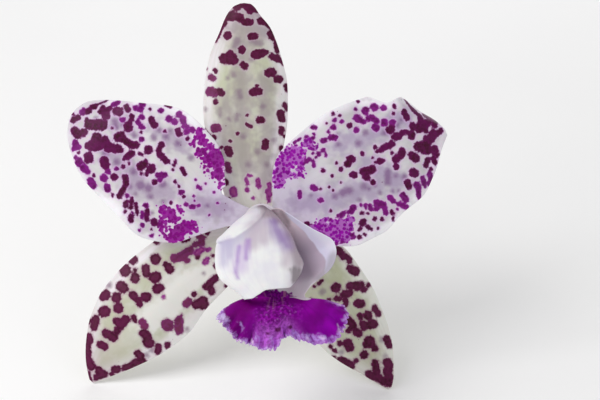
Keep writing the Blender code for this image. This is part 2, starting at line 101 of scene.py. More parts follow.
# The anther cap: centre on the column's axis frame, outer half sizes, wall, open side, and the
# furrow down its middle. The block that opens it has flat sides.
CAP_PLACE = (24.4, -0.2)
CAP_SIZE = Vector((2.7, 2.0, 2.1))
CAP_WALL = 0.6
CAP_OPEN = 0.6
CAP_FURROW = 0.10
CAP_FURROW_WIDTH = 0.35
CAP_FURROW_GROWS = (-0.4, 1.0)
MOUTH_BULGE = 9.0
MOUTH_HALF = 4.0

# The pollinia: how many, the half sizes of them all together, and the grooves between them.
POLLINIA = 4
POLLINIA_SIZE = Vector((1.7, 0.95, 1.0))
POLLINIA_GROOVE = 0.3
POLLINIA_DEPTH = 0.1

# The lip's side lobes, as sections across the column's axis, s mm from the disc. Angles run round
# the axis from the keel below it, in degrees. The left lobe folds right over the column as a
# hood; the right lobe stays open and flares. Reach is half width, heights are over the axis.
LEFT_REACH = (
    (0, 4.3), (3, 5.4), (8, 9.4), (12, 12.5), (14, 14), (16, 14.5),
    (21, 15.1), (24, 14.4), (26, 12.4), (28, 10.2), (31, 8.2),
)
RIGHT_REACH = (
    (0, 4.3), (3, 4.9), (8, 7.6), (12, 11.8), (16, 17.1),
    (18, 17.4), (20, 16.9), (22, 15.4), (24, 12.4), (26, 9.4), (28, 7.4),
)
LEFT_SWEEP = (
    (0, 176), (4, 190), (8, 201), (14, 206), (18, 208), (21, 212), (24, 216), (28, 222),
)
RIGHT_SWEEP = ((0, 150), (3, 132), (8, 98), (14, 72), (22, 62), (28, 50))
KEEL = ((0, -4.3), (5, -4.7), (14, -4.6), (22, -3.8), (28, -3))
HOOD_TOP = ((0, 4.5), (4, 5.2), (12, 5.6), (19, 5.2), (25, 4.2), (29, 3.4))
RIGHT_MARGIN = ((0, 3.2), (5, 5.2), (12, 5.2), (18, 4.6), (23, 1.8), (28, -1.4))

# Where the tube ends: at the isthmus, which is this wide to each side of the keel, in degrees,
# and at the hood's front edge, from its free margin (0) to the isthmus (HOOD_SHARE). From
# CROWDED_FROM of the way on, the columns are as crowded as in the isthmus, and up to LIP_SEAT,
# in mm, the tube's edge is its seat and no margin.
ISTHMUS = 28.3
ISTHMUS_SWEEP = 50.0
CROWDED_FROM = 0.85
HOOD_SHARE = 0.45
LIP_SEAT = 1.0
HOOD_FRONT = (
    (0, 21.6), (0.02, 24.2), (0.04, 26.4), (0.06, 27.6), (0.1, 27.9), (0.15, 28.2), (0.2, 29.4),
    (0.25, 30.2), (0.33, 30), (0.45, 29.2), (0.55, 28.4), (0.85, 28.3), (1, 28.9),
)

# The hood's crease: how far along the axis it lies at each angle, how far it stands out, as a
# share of the hood's size, how gently it rises and falls, in mm, and the valley beyond it.
CREASE_LINE = (
    (110, 14.2), (129, 14.6), (140, 14.6), (150, 13.6), (160, 11.8), (165, 10.7), (171, 9.1),
    (180, 6.1),
)
CREASE_SHARE = 0.09
CREASE_RISE = 4.0
CREASE_FALL = 0.6
VALLEY_DEPTH = 0.055
VALLEY_WIDTH = 5.0
CREASE_STARTS = (102.0, 116.0)
CREASE_ENDS = (184.0, 172.0)

# The mid lobe, as a fan from the isthmus: angle from its own midline (left is positive, in
# degrees) and reach. The dip near the middle is the notch between its two wings.
FAN_REACH = (
    (-84, 18.2), (-76, 19.8), (-60, 19.9), (-51, 19.2), (-42, 17), (-27, 12.9),
    (-15, 10.9), (-8, 11), (0, 13.7), (18, 14.7), (30, 14.6), (42, 15.9),
    (59, 16.1), (72, 17.3), (84, 11),
)
FAN_EDGE = 84.0

# How steeply the fan hangs, how far its middle and wings rise and its margin drops, and its
# teeth and two frills: how many, how high, and from what share of the way out they grow.
FAN_SLOPE = math.radians(74.0)
FAN_RISE = 2.6
RISE_ENDS = 0.8
WING_RISE = 1.8
WING_REST = 0.35
MARGIN_DROP = 1.5
TEETH = 40
TEETH_FROM = 0.8
TOOTH_DEPTH = 0.55
TOOTH_CHANGES = ((0.3, 11, 1), (0.2, 23, 0))
TOOTH_DRIFT = 1.2
TOOTH_DRIFTS = 7
TOOTH_BASE = 0.7
FRILL_HEIGHT = 1.0
FRILL_WAVES = 12
FRILL_FROM = 0.45
FINE_FRILL_HEIGHT = 0.3
FINE_FRILL_TURNS = 61
FINE_FRILL_PHASE = 2.0
FINE_FRILL_FROM = 0.7

# Sepals and petals. tip is where the blade ends on the face; upper and lower are the distances
# of its two margins from the straight line to the tip, along its length; rib is the depth of the
# midrib; cup bends both margins back (positive) or forward; wave is the margins' amplitude, count
# and phase; a fold bends one margin back: where along it, how wide, which margin and how deep.
DORSAL_SEPAL = {
    "tip": (-5.6, 61.6),
    "upper": ((0, 3.2), (0.05, 6), (0.1, 9.2), (0.17, 10.4), (0.32, 12.6), (0.5, 14),
              (0.66, 12.8), (0.78, 10.6), (0.88, 7.2), (0.955, 4.6), (0.99, 2.4), (1, 0.6)),
    "lower": ((0, -2.2), (0.08, -4.2), (0.17, -5), (0.33, -7.8), (0.45, -9.6), (0.62, -10.5),
              (0.75, -9.4), (0.87, -7.4), (0.94, -4.6), (0.99, -2.5), (1, -0.6)),
    "rib": ((0, SEPAL_SEAT_DEPTH), (0.3, 2), (0.7, 2.6), (0.93, 1.4), (1, 2.2)),
    "cup": ((0, -0.3), (0.15, 0), (0.35, 1.8), (0.6, 3), (0.9, 1.6), (1, 0.3)),
    "wave": (0.25, 2.5, 20),
    "folds": (),
    "thick": SEPAL_THICK,
}
LATERAL_SEPAL_LEFT = {
    "tip": (-49, -45.5),
    "upper": ((0, -2.4), (0.1, -5), (0.22, -11.6), (0.38, -16.8), (0.55, -17.8),
              (0.68, -17), (0.8, -14.1), (0.9, -9.4), (0.965, -4.6), (1, -0.6)),
    "lower": ((0, 1.6), (0.12, 4.4), (0.28, 6.6), (0.42, 7.2), (0.56, 8.9), (0.68, 8.1),
              (0.82, 5.5), (0.92, 2.9), (1, 0.6)),
    "rib": ((0, SEPAL_SEAT_DEPTH), (0.1, 2.7), (0.3, 3.7), (0.7, 5.8), (1, 9)),
    "cup": ((0, 0.5), (0.3, 1.4), (0.65, 2.4), (1, 0.2)),
    "wave": (0.35, 2, 70),
    "folds": (),
    "thick": SEPAL_THICK,
}
LATERAL_SEPAL_RIGHT = {
    "tip": (36.1, -47.3),
    "upper": ((0, 3), (0.1, 5), (0.22, 10.6), (0.36, 14.2), (0.53, 13.8), (0.68, 11.9),
              (0.81, 9.2), (0.92, 5.2), (0.975, 2.4), (1, 0.6)),
    "lower": ((0, -1.6), (0.12, -4), (0.3, -6.6), (0.46, -8.2), (0.63, -8.6), (0.74, -7.2),
              (0.86, -4.2), (0.95, -1.9), (1, -0.6)),
    "rib": ((0, SEPAL_SEAT_DEPTH), (0.1, 2.7), (0.3, 4.6), (0.65, 8), (0.85, 7.7),
            (1, 6.25)),
    "cup": ((0, 0.5), (0.3, 1.4), (0.65, 2.2), (1, 0.2)),
    "wave": (0.35, 2, 200),
    "folds": (),
    "thick": SEPAL_THICK,
}
PETAL_LEFT = {
    "tip": (-54, 29.4),
    "upper": ((0, -2), (0.1, -1.5), (0.17, -1.6), (0.23, -5), (0.29, -10.6), (0.38, -14.2),
              (0.56, -16.9), (0.77, -12.4), (0.89, -9.4), (0.965, -6.4), (0.993, -3.2), (1, -0.8)),
    "lower": ((0, 2), (0.08, 3.6), (0.16, 7.6), (0.23, 12), (0.31, 17), (0.46, 19.8),
              (0.58, 17.8), (0.8, 13.6), (0.92, 8.5), (0.975, 4.6), (1, 0.8)),
    "rib": ((0, PETAL_SEAT_DEPTH), (0.2, -1.4), (0.5, -2.6), (0.8, -1.4), (1, 1.4)),
    "cup": ((0, 0), (0.3, -0.4), (0.6, 1), (0.85, 1.6), (1, 0.4)),
    "wave": (1.15, 3.2, 10),
    "folds": ((0.92, 0.07, 1, 1.8), (0.2, 0.06, 1, -1.2)),
    "thick": PETAL_THICK,
}
PETAL_RIGHT = {
    "tip": (51.6, 25.2),
    "upper": ((0, 2), (0.08, 4), (0.15, 11.2), (0.22, 15.2), (0.32, 17.2), (0.54, 19.6),
              (0.72, 18.8), (0.81, 14.6), (0.865, 14.6), (0.93, 8.8), (0.98, 4.2), (1, 0.8)),
    "lower": ((0, -2), (0.08, -4), (0.175, -10), (0.28, -15.3), (0.39, -17.6),
              (0.5, -17.6), (0.64, -14.8), (0.76, -13.2), (0.86, -9), (0.94, -3.9), (1, -0.8)),
    "rib": ((0, PETAL_SEAT_DEPTH), (0.2, -1.4), (0.5, -2.4), (0.8, -1.6), (1, 1)),
    "cup": ((0, 0), (0.3, -0.4), (0.6, 0.8), (0.85, 1), (1, 0.4)),
    "wave": (1.25, 3.6, 150),
    "folds": ((0.93, 0.06, 1, 2.8), (0.85, 0.025, 1, -1.4), (0.84, 0.07, -1, 1.4)),
    "thick": PETAL_THICK,
}

# The ovary and pedicel: the path's Bezier points, and radii and ridges along the path.
STEM_PATH = ((0, 4, 0), (0, 20, 0), (1, 37, -11), (2.4, 49.62, -22.2))
STEM_RADIUS = ((0, 3.3), (0.1, 3.2), (0.35, 2.9), (0.55, 2.2), (0.75, 1.9), (0.94, 2), (1, 2.3))
STEM_RIDGE = ((0, 0.1), (0.12, 0.34), (0.42, 0.3), (0.7, 0.12), (1, 0.04))
STEM_RIDGES = 6
STEM_START = 0.01
CUT_RINGS = (0.93, 0.8, 0.5, 0.2)
CUT_POSITION = 1.02

# Fine grids: rows along a piece and columns across it; the lip's tube rows, mid lobe rows, and
# gaps across hood and isthmus; and how closely they crowd towards tips, margins and fronts.
GRIDS = {"sepal": (210, 100), "petal": (220, 140)}
LIP_GRID = (120, 84, 110, 230)
COLUMN_GRID = (90, 80)
BALL_GRID = (48, 64)
MOUTH_GRID = (12, 24)
POLLINIA_GRID = (96, 48)
STEM_GRID = (150, 96)
TIP_CROWDING = 1.5
MARGIN_CROWDING = 0.7
FRONT_CROWDING = 1.25
COLUMN_CROWDING = 1.3
BALL_POLE = 0.004

# How softly a blade meets the neck, in mm, and where its waves begin and grow, by how much the
# upper margin's are ahead, and how sharp its folds are.
SEAT_SOFTNESS = 2.0
WAVE_FROM = 0.3
WAVE_GROWS = (0.2, 0.45)
UPPER_WAVE_LEAD = 1.9
FOLD_SHARPNESS = 2.5

# A blade's finer relief, in mm: the groove down its midrib, soft swells, and small wavelets.
RELIEF_GROWS = (0.12, 0.35)
RIB_GROOVE = 0.3
RIB_NARROWNESS = 7
RIB_FADES = 0.75
SWELL_HEIGHT = 0.22
SWELL_SIZE = 14.0
WAVELET_HEIGHT = 0.20
WAVELET_SIZE = 5.0
RIPPLE_WAVES = 7
RIPPLE_PITCH = (0.5, 1.1)

# A blade's thickness at its margin as a share of the middle's, how far in it thins, how far
# in its edge is rounded, in mm, and what share of its thickness the very edge keeps.
MARGIN_SHARE = 0.36
THINS_OVER = 2.2
ROUNDED_OVER = 0.16
EDGE_SHARE = 0.02

# How far red, green and blue light reach in the tissues, as shares of a depth in metres, and
# their gloss; the band that most noise lies in; and the band in which a sheet's side, which
# goes from -1 to 1, turns from its back to its front.
LIGHT_REACH = (1.0, 0.6, 0.75)
LIGHT_DEPTH = 0.0012
COAT_ROUGHNESS = 0.35
SPECULAR = 0.16
LIP_SPECULAR = 0.05
NOISE_BAND = (0.3, 0.7)
FRONT = (-0.4, 0.4)

# Where the mid lobe's purple starts in the tube, in mm from the disc, and how its edge bows
# with the angle and slants to the right.
PURPLE_START = 26.2
PURPLE_BOW = 0.0006
PURPLE_SLANT = 0.04

# The studio, in metres in the bloom's own frame: each light's place, size, power and colour.
LIGHTS = {
    "key": ((-0.38, -0.36, 0.32), 0.40, 2.1, (1, 0.99, 0.975)),
    "fill": ((0.45, -0.40, 0.05), 0.6, 0.5, (0.97, 0.98, 1)),
    "rim": ((0.10, 0.40, 0.42), 0.5, 1, (1, 1, 1)),
}
SKY_STRENGTH = 0.48
FLOOR_SIZE = 6.0

# Markings, as seen from the camera: (x, y, radius) of a spot, or (x, y, x, y, radius) of a
# stroke, in pixels of a 600 by 400 picture. Each is laid on the piece that shows there.
# On the blades, the pale marks are veiled spots seen through the tissue and the wash marks broad mauve or
# cream tints; in places both are painted shade where a blade folds.
DORSAL_MARKS = {
    "maroon": (
        (235, 5, 250, 4, 3), (238, 8, 3), (247, 8, 250, 11, 3.4), (253, 8, 256, 11, 2),
        (229, 17, 237, 17, 3.4), (232, 14, 3), (240, 17, 3.4), (244, 22, 250, 22, 3), (260, 21, 3.5),
        (264, 21, 268, 27, 2), (225, 23, 2.8), (222, 27, 219, 33, 1.7), (219, 34, 215, 40, 2.2),
        (228, 35.5, 3.8), (251, 36.5, 255, 36, 2.8), (270, 34, 271, 36, 3.6), (276, 43, 277, 51, 2.6),
        (272, 57, 278, 59, 3.2), (282, 60, 283, 64, 1.7), (242, 50, 3.8), (224, 58, 225, 60, 4.2),
        (231, 55, 234, 60, 4.3), (230, 60, 4), (256, 55, 258, 54, 4.6), (263, 53, 3), (266, 52, 1.6),
        (243, 65, 245, 66, 3.2), (268, 73, 272, 72, 4), (277, 80, 279, 79, 3.6), (285, 86, 286, 90, 2),
        (256, 86, 1.6), (253, 92, 259, 92, 3.8), (216, 70, 217, 72, 1.8), (220, 91, 222, 93, 3.2),
        (216, 102, 2.6), (206, 69, 1.2), (284, 105, 286, 108, 2.4), (280, 114, 281, 118, 4),
        (281, 129, 281, 133, 2.8), (285, 137, 1.6), (259, 120, 261, 120, 3.4), (248, 115.5, 1.5),
        (247, 124, 251, 127, 1.6), (238, 133.5, 1.5), (231, 141, 1.4), (265, 143, 265, 147, 3.4),
        (222, 148, 1.6), (207, 132, 210, 135, 1.1), (204, 130, 1), (228, 150, 230, 153, 3.6),
    ),
    "rosy": (
        (211, 77, 214, 79, 2.8), (210, 92, 215, 93, 4.4), (215, 128, 218, 128, 4.2),
        (228, 165, 229, 171, 2.8),
    ),
    "magenta": (
        (233, 190, 234, 193, 3.8), (248, 175, 251, 176, 1.3), (246, 179, 248, 184, 1.8),
        (247.5, 189.5, 2.2), (258, 181, 259, 186, 2.4), (253.5, 198, 1.4), (269, 184, 269, 198, 1.8),
        (267, 192, 270, 194, 2.2), (269.5, 201, 1.6),
    ),
    "pale": (
        (237, 40, 235, 46, 3), (252, 40, 260, 44, 3), (234, 75, 2.5), (228, 78, 2),
        (239, 92, 240, 97, 2.5), (237, 115, 236, 120, 2.5), (229, 119, 2), (243, 136, 3), (248, 165, 3),
        (262, 106, 3), (258, 152, 3), (266, 165, 2.5), (221, 110, 221, 115, 2), (206, 110, 2),
        (251, 60, 2), (274, 140, 2.5),
    ),
    "wash_and_shade": (
        (232, 12, 258, 14, 8), (236, 28, 262, 32, 8), (243, 45, 243, 125, 9), (262, 84, 268, 140, 7),
        (238, 135, 246, 164, 11), (262, 150, 266, 186, 7), (226, 100, 226, 150, 5),
    ),
}
LATERAL_LEFT_MARKS = {
    "maroon": (
        (134, 260, 4.3), (125, 270, 126, 271, 5.6), (135.5, 270, 1.8), (155, 259, 156, 260, 4.8),
        (146, 269, 147, 273, 3.8), (154, 277, 157, 276, 4.6), (136, 278.5, 4.6),
        (121, 286, 124, 288, 4.7), (157, 289, 159, 288, 4.2), (104, 296, 106, 295, 4.5), (117, 298, 4.6),
        (133, 295, 135, 297, 3.6), (138, 300, 140, 304, 2.6), (145, 296.5, 147, 297, 4.1),
        (106, 311, 104, 312, 4.9), (119, 308, 4.6), (96, 320, 95, 326, 4), (88.5, 320.5, 2),
        (117, 321, 119, 323, 3), (121, 325, 126, 319, 3.8), (118, 330.5, 2.8), (134, 316, 136, 320, 2),
        (144, 332, 147, 335, 4), (147, 341, 149, 343, 4.4), (158, 346, 158, 351, 2.8),
        (167, 344, 167, 346, 2.5), (107, 333, 114, 337, 3.8), (101, 344, 105, 346, 3.2),
        (90, 337, 90, 340, 3.8), (88, 346, 89, 352, 3.3), (88, 358, 91, 366, 3.8),
        (88, 373, 87, 380, 2.2), (99, 370, 102, 373, 3.2), (97, 377, 105, 374, 2.4), (112, 374, 1.8),
        (115, 369, 117, 369, 3.4), (126, 367, 129, 366, 3.5), (135, 362, 139, 364, 3.6),
        (138, 353, 141, 356, 3.2), (142, 361, 144, 362, 2.6), (169, 267, 171, 269, 3.9), (165, 264, 1.8),
        (183, 241, 189, 239, 1.8), (198, 257, 2), (213, 255, 1.5), (206, 286, 214, 279, 3),
        (212, 289, 212, 291, 3.2), (216, 277, 2), (194, 294, 2.4), (196, 304, 198, 304, 4.6),
        (203, 300, 204, 304, 4.6),
    ),
    "rosy": (
        (174, 259, 182, 257, 3.6), (187, 260, 2.6), (183, 255, 190, 251, 3.6), (198, 237, 203, 238, 2),
        (195, 245, 201, 243, 2.4), (202, 241, 203, 244, 2), (186, 304, 189, 301, 3.4),
        (167, 323, 168, 325, 5.2), (178, 320, 179, 331, 3.8), (181, 314.5, 179, 317, 1),
        (143, 322, 145, 325, 3.4),
    ),
    "magenta": (
        (205, 262, 207, 260, 2.6), (163.5, 297, 1.7), (197, 253, 201, 250, 2.8),
        (207, 250, 209, 249.5, 1.6),
    ),
    "pale": ((203, 273, 1.4), (146, 355, 3), (187, 329, 2.5), (110, 285, 3), (152, 350, 3)),
    "wash_and_shade": ((150, 318, 180, 296, 14), (172, 290, 205, 272, 13), (176, 340, 205, 318, 7)),
}
LATERAL_RIGHT_MARKS = {
    "maroon": (
        (338, 250, 341, 253, 3.2), (342, 258, 2.2), (346, 256, 349, 260, 2.6), (348, 267, 2.4),
        (352, 270, 355, 271, 4), (335, 287, 4.7), (349, 285, 361, 285, 3.3), (356, 287, 3),
        (364, 290, 2.6), (368, 285, 2.1), (343, 294, 349, 293, 3.4), (336, 298, 339, 298, 2.5),
        (345, 300, 2.4), (358, 303, 360, 304, 4), (374, 308, 378, 314, 2.8), (360, 316, 2.8),
        (367, 314, 368, 317, 3.4), (349, 320, 353, 325, 3.4), (348, 331, 351, 326, 2),
        (357, 332, 358, 333, 3.8), (363, 325, 364, 326, 3.4), (370, 325, 373, 324, 3.9),
        (340, 342, 340, 343, 2.2), (348, 343, 349, 347, 4), (369, 341, 370, 343, 4.3), (366, 345, 3),
        (375, 348, 2.5), (364, 354, 3.5), (386, 339, 389, 345, 3.1), (335, 351, 2), (333, 357.5, 2),
        (342, 361, 350, 365, 4.5), (356.5, 360, 1.8), (375, 363, 3), (376, 367, 377, 372, 3.1),
        (369, 374, 374, 377, 3.3), (378, 377, 384, 382, 3.4), (387, 362, 389, 366, 3.7),
        (388, 371, 389, 378, 3.8), (389, 383, 3.2), (318, 283, 322, 281, 1.1), (313.5, 286.5, 1.2),
        (331, 346, 1.5),
    ),
    "pale": ((382, 340, 3), (385, 356, 2), (342, 352, 3), (322, 292, 3)),
    "wash_and_shade": ((352, 262, 376, 296, 5), (376, 296, 392, 336, 5), (392, 336, 396, 372, 4)),
}
PETAL_LEFT_MARKS = {
    "maroon": (
        (97, 138, 96, 146, 5), (90, 146, 100, 146, 3.8), (105, 140, 109, 146, 3.4),
        (108, 148, 117, 149, 4), (117, 147, 122, 150, 2), (90, 125, 96, 125, 4.6),
        (100, 125, 103, 126, 4.9), (106, 113, 107, 117, 3.5), (101, 112, 104, 113, 2.2), (103, 108, 2.1),
        (110, 109, 2.5), (117, 111, 120, 112, 4), (132, 116, 132, 119, 2.2), (127, 107, 129, 110, 2.5),
        (128, 126, 129, 129, 3.8), (118, 137, 121, 136, 3.7), (122, 138, 127, 142, 3),
        (132, 145, 136, 145, 3.4), (148, 150, 149, 150, 4.1), (128, 157, 132, 154, 3.2), (124, 160, 1.3),
        (141, 166, 144, 164, 3.9), (150, 170, 152, 168, 4.1), (147, 175, 1.8), (142, 174, 1.3),
        (89, 157, 89, 159, 4.4), (105, 161, 106, 165, 4.2), (75, 131, 79, 135, 3.8), (84, 133, 3.6),
        (74, 120, 3), (78, 118, 2.8), (88, 112, 3.4), (95, 108, 2.4), (91, 107, 107, 101.5, 1.1),
        (115, 177, 3.4), (123, 167, 1.8), (125, 177, 126, 184, 2.7), (124, 188, 120, 196, 2.6),
        (155, 126, 3.2), (151, 119, 152, 122, 2.5), (161, 144.5, 3.3), (159, 151, 160, 154, 2.5),
        (163, 157, 165, 160, 3), (168, 162, 2), (182, 169, 185, 173, 2.1), (179, 131, 179, 134, 3),
        (176, 160, 176, 163, 1.2), (174, 165, 1.2), (173, 169, 1.3), (175, 181, 1.6), (179, 186, 1.4),
        (94, 175, 1.3), (79, 153, 1.1), (113, 194, 113, 196, 1.1), (140, 153, 1.3), (143, 155, 1),
        (147, 160, 1.2), (113, 128, 0.9), (130, 164, 1), (125, 211, 125, 213, 1), (151, 229, 0.9),
        (150, 109, 1.2), (165, 132, 1.7), (87, 120, 1.3), (73, 114, 1.1), (142, 132, 1.3),
        (171, 202, 1.7), (166, 105, 170, 107, 1.2), (188, 139, 1.7), (184, 197, 1.6),
        (154, 182, 155, 183, 2.3), (154, 222, 155, 223, 3.4), (127, 202, 126, 206, 2.3),
        (132, 199, 131, 208, 1.7), (136, 204, 137, 214, 1.6), (131, 216, 131, 220, 2.3),
        (147, 210, 147, 220, 2.3),
    ),
    "magenta": (
        (115, 105, 118, 103, 2.8), (113, 105, 1.5), (123, 120, 2.4), (136, 108, 2.2), (141, 109, 2.7),
        (142, 104, 2.7), (142, 117, 2.6), (138, 122, 141, 127, 2), (143, 128, 2), (142, 140, 2.6),
        (104, 178, 3.6), (107, 187, 108, 188, 3.5), (109, 172, 2.5), (117, 169, 1.9),
        (91, 181, 93, 185, 3.5), (84, 168, 85, 169, 3.3), (88, 171, 2.4), (80, 161, 79, 163, 3.2),
        (76, 143, 77, 147, 3), (74, 149, 80, 147, 1.8), (83, 113, 2.8), (84, 110, 1.2), (76, 157, 1.5),
        (128, 196, 1.9), (133, 213, 1.4), (142, 213, 142, 217, 1.7), (146, 205, 2.6), (142, 225, 2.1),
        (140, 230, 1.3), (153, 235, 1.5), (150.5, 236, 1.2), (158, 175, 165, 175, 2.7), (161, 180, 2.5),
        (160.5, 111, 2.7), (169, 119.5, 3.5), (175.5, 122, 3.1), (179, 115, 3.2),
        (184, 119, 184, 123, 2.9), (187, 127, 2.3), (192, 129.5, 3.1), (187, 132, 2.7), (183, 127, 1.4),
        (180, 193, 182, 192, 2.4), (186, 204, 2.1), (192, 207, 2.6), (199, 206, 1.5),
        (198, 187, 200, 188, 2), (206, 184, 1.3), (214, 192, 1.2), (196, 180, 1.2), (193, 196, 1.1),
        (194, 201, 1), (209, 215, 1), (218, 203, 1),
    ),
    "patch": (
        (199, 133, 201, 138, 3.5), (203, 142, 2.4), (194, 143, 2.3), (198, 152, 2.7), (203, 151, 2.5),
        (205, 158, 207, 161, 2.5), (217, 155, 219, 162, 5.2), (213, 158, 216, 166, 3.8),
        (218, 166, 220, 176, 3.2), (220, 178, 221, 186, 1.2), (211, 148, 3), (210, 153, 1.7),
        (207, 167, 1.6), (208, 171, 1.2), (213, 175, 1.5), (162, 209, 163, 212, 2.3),
        (168, 210.5, 173, 211.5, 2.4), (179, 208, 1.7), (181, 212, 1.4), (172, 218, 176, 219, 3.3),
        (175, 236, 184, 228, 6), (186, 227, 192, 226, 3.6), (192, 229, 197, 230, 1.3),
        (164, 215, 161, 222, 1.2), (161, 222, 161, 229, 1.7), (167, 221, 167, 230, 0.6),
        (162, 232, 163, 234, 0.7), (165, 234, 169, 241, 0.7),
    ),
    "pale": (
        (141, 185, 4.5), (148, 188, 4), (151, 196, 2.5), (136, 194, 2.5), (163, 185, 3.5),
        (115, 121, 117, 127, 3), (105, 153, 3.8), (117, 162, 3.2), (134, 172, 3.2), (152, 213, 2),
        (164, 201, 2.4), (166, 137, 3), (154, 138, 3), (170, 131, 2.5), (160, 130, 2.4), (178, 143, 2.8),
        (191, 157, 3), (135, 135, 3), (124, 124, 3), (207, 206, 2), (96, 118, 2), (130, 186, 2.5),
    ),
    "wash_and_shade": (
        (112, 120, 130, 128, 7), (132, 186, 168, 192, 9), (105, 150, 140, 180, 7),
        (156, 130, 182, 146, 6), (196, 204, 224, 208, 8),
    ),
}
PETAL_RIGHT_MARKS = {
    "maroon": (
        (358, 102, 1.6), (349, 125.5, 2.7), (350, 159, 352, 160, 3.4), (346, 164, 349, 165, 2.6),
        (341, 169, 2.3), (336.5, 163, 1.3), (323, 171, 2.3), (332.5, 176, 1.4), (353, 174, 354, 175, 3.2),
        (363, 154, 2.2), (363, 171, 372, 169, 3.8), (366, 177, 3.8), (373, 182, 2.6), (393, 114, 1.4),
        (394.5, 105, 394.5, 107, 1), (389, 130, 391, 129, 3.4), (404, 112, 407, 118, 2.2),
        (405, 101, 411, 109, 1.6), (411, 109, 418, 116, 2.3), (419, 117, 420, 124, 2.4),
        (412, 126, 413, 127, 3), (418, 129, 422, 124, 3.8), (425, 131, 1.9), (424, 116, 430, 119, 2.8),
        (428, 122, 424, 126, 3), (434, 122, 434, 126, 2.4), (440, 131, 2.2), (433, 134, 430, 139, 3.8),
        (426, 139, 2.8), (437, 133, 2.4), (396, 137, 399, 136, 3.1), (402, 133, 407, 132, 1.7),
        (411, 135, 411, 136, 3.3), (393, 137, 1.4), (383, 148, 392, 143.5, 3), (381, 151, 2),
        (375, 147.5, 1.7), (377, 151, 1.4), (392, 153, 1.4), (402, 151, 401, 155, 3.3),
        (395, 159, 397, 158, 3.4), (396, 166.5, 2.8), (380, 161, 2.9), (375, 162, 1.2), (384, 161, 1),
        (412, 155, 415, 159, 3.4), (418, 147, 424, 146, 4.2), (423, 150, 428, 150, 3.3), (427, 145, 3),
        (434, 148, 435, 152, 2.8), (427, 160, 425, 165, 2.6), (433, 158, 435, 163, 2), (438, 155, 1.4),
        (431, 169, 1.6), (413, 172, 414, 173, 3.8), (407, 183, 408, 186, 3), (362, 223, 363, 222, 3),
        (359, 229.5, 2), (360, 237.5, 2), (365, 234.5, 1.5), (367, 227, 371, 229, 1.8), (374, 218.5, 2.3),
        (382, 218.5, 2.1), (391, 211, 393, 213, 1.8), (393, 218, 393, 220, 1), (378, 228, 1.3),
        (362, 213, 2.1), (368, 213.5, 1.3), (333, 190, 1.2), (329, 187, 1), (341, 183, 0.9),
        (321, 188.5, 1.4), (330, 211, 1.4), (333, 114, 1.5), (340, 115.5, 1.3), (327, 123, 1),
        (372, 158, 0.9),
    ),
    "magenta": (
        (306, 137, 1.7), (311, 139, 313, 138, 1.5), (314, 134.5, 1.5), (312, 127.5, 316, 127.5, 1.6),
        (294, 143, 300, 139, 1), (334.5, 120, 2.1), (341, 121.5, 1.7), (333, 127, 2.8), (328, 131.5, 1.6),
        (331, 137, 335, 137, 2.9), (322, 141, 325, 140, 2.3), (355, 110, 1.8), (365, 111, 365, 112, 3.4),
        (356, 118, 358, 119, 3.4), (361, 121, 363, 122, 2.3), (367, 119, 369, 120, 2), (356, 130, 2.8),
        (324, 150.5, 2.1), (326, 156, 1.6), (319, 154, 2.1), (313, 153.5, 1.2), (316, 157, 1.2),
        (306, 161, 309, 159, 2), (313, 162, 314, 166, 1.6), (313, 187, 315, 188, 2.9),
        (320, 200, 321, 200, 2.5), (300, 192, 300, 197, 1.8), (374, 107, 375, 108, 3.2), (384, 108, 2.7),
        (372, 117, 377, 121, 2.3), (374, 127, 376, 129, 2.9), (384, 122, 384, 124, 2.9),
        (392, 123, 393, 122, 2.4), (429, 173, 431, 180, 2.5), (422, 178, 424, 185, 2.3), (428, 183, 2.4),
        (416, 185, 418, 187, 2.7), (418, 190, 419, 197, 2), (402, 195, 406, 200, 2.6),
        (390, 197, 393, 201, 2.5), (399, 204, 406, 207, 2.2), (397, 209, 1.1), (376, 203, 382, 204, 3.4),
        (377, 208, 2.9), (384, 206, 386, 213, 2.5), (361, 205, 1.5), (366, 205, 366, 208, 1.4),
        (369, 205, 371, 209, 1.7), (351, 211, 354, 207, 2.9), (341, 216.5, 344, 213, 2.3),
        (338, 216.5, 1.4), (347, 213, 1.1), (331, 219.5, 1.5), (324, 234, 1.2), (353, 234, 354, 238, 1.7),
        (337, 244, 1.3), (342, 242, 2),
    ),
    "patch": (
        (283, 164, 289, 158, 7.6), (281, 172, 285, 173, 6.2), (279, 184, 281, 182, 2.8),
        (292, 151, 300, 151, 4.6), (295, 160, 301, 160, 3.6), (300, 168, 302, 166, 2),
        (306, 144, 309, 141, 3.3), (313, 147, 315, 148, 2.4), (298, 175, 301, 174, 1.8),
        (274, 172, 277, 178, 2.2), (311, 227, 315, 229.5, 1.7), (319, 227, 325, 230, 3.4),
        (322, 221, 326, 219, 1.8), (330, 233, 338, 237, 4.4), (334, 224, 338, 228, 4.6),
        (342, 224, 346, 231, 4.6), (343, 238, 347, 238, 3.4), (350.5, 218, 351, 228, 2.2),
    ),
    "pale": (
        (365, 133, 3), (358, 143, 3), (338, 145, 2.4), (338, 133.5, 1.4), (388, 172, 388, 182, 3.2),
        (363, 186, 3.4), (385, 133, 3), (397, 125, 2.8), (404, 176, 2.5), (343, 193, 350, 190, 3.6),
        (369, 189, 2), (360, 200, 2), (380, 192, 2), (393, 191, 1.4), (398, 191, 1.2), (311, 196, 1.2),
        (395, 176, 2), (401, 120, 2), (374, 185, 2), (335, 197, 3),
    ),
    "wash_and_shade": (
        (300, 204, 335, 200, 9), (335, 196, 375, 188, 8), (372, 166, 396, 182, 9),
        (380, 130, 400, 122, 8), (336, 146, 372, 134, 7),
    ),
}
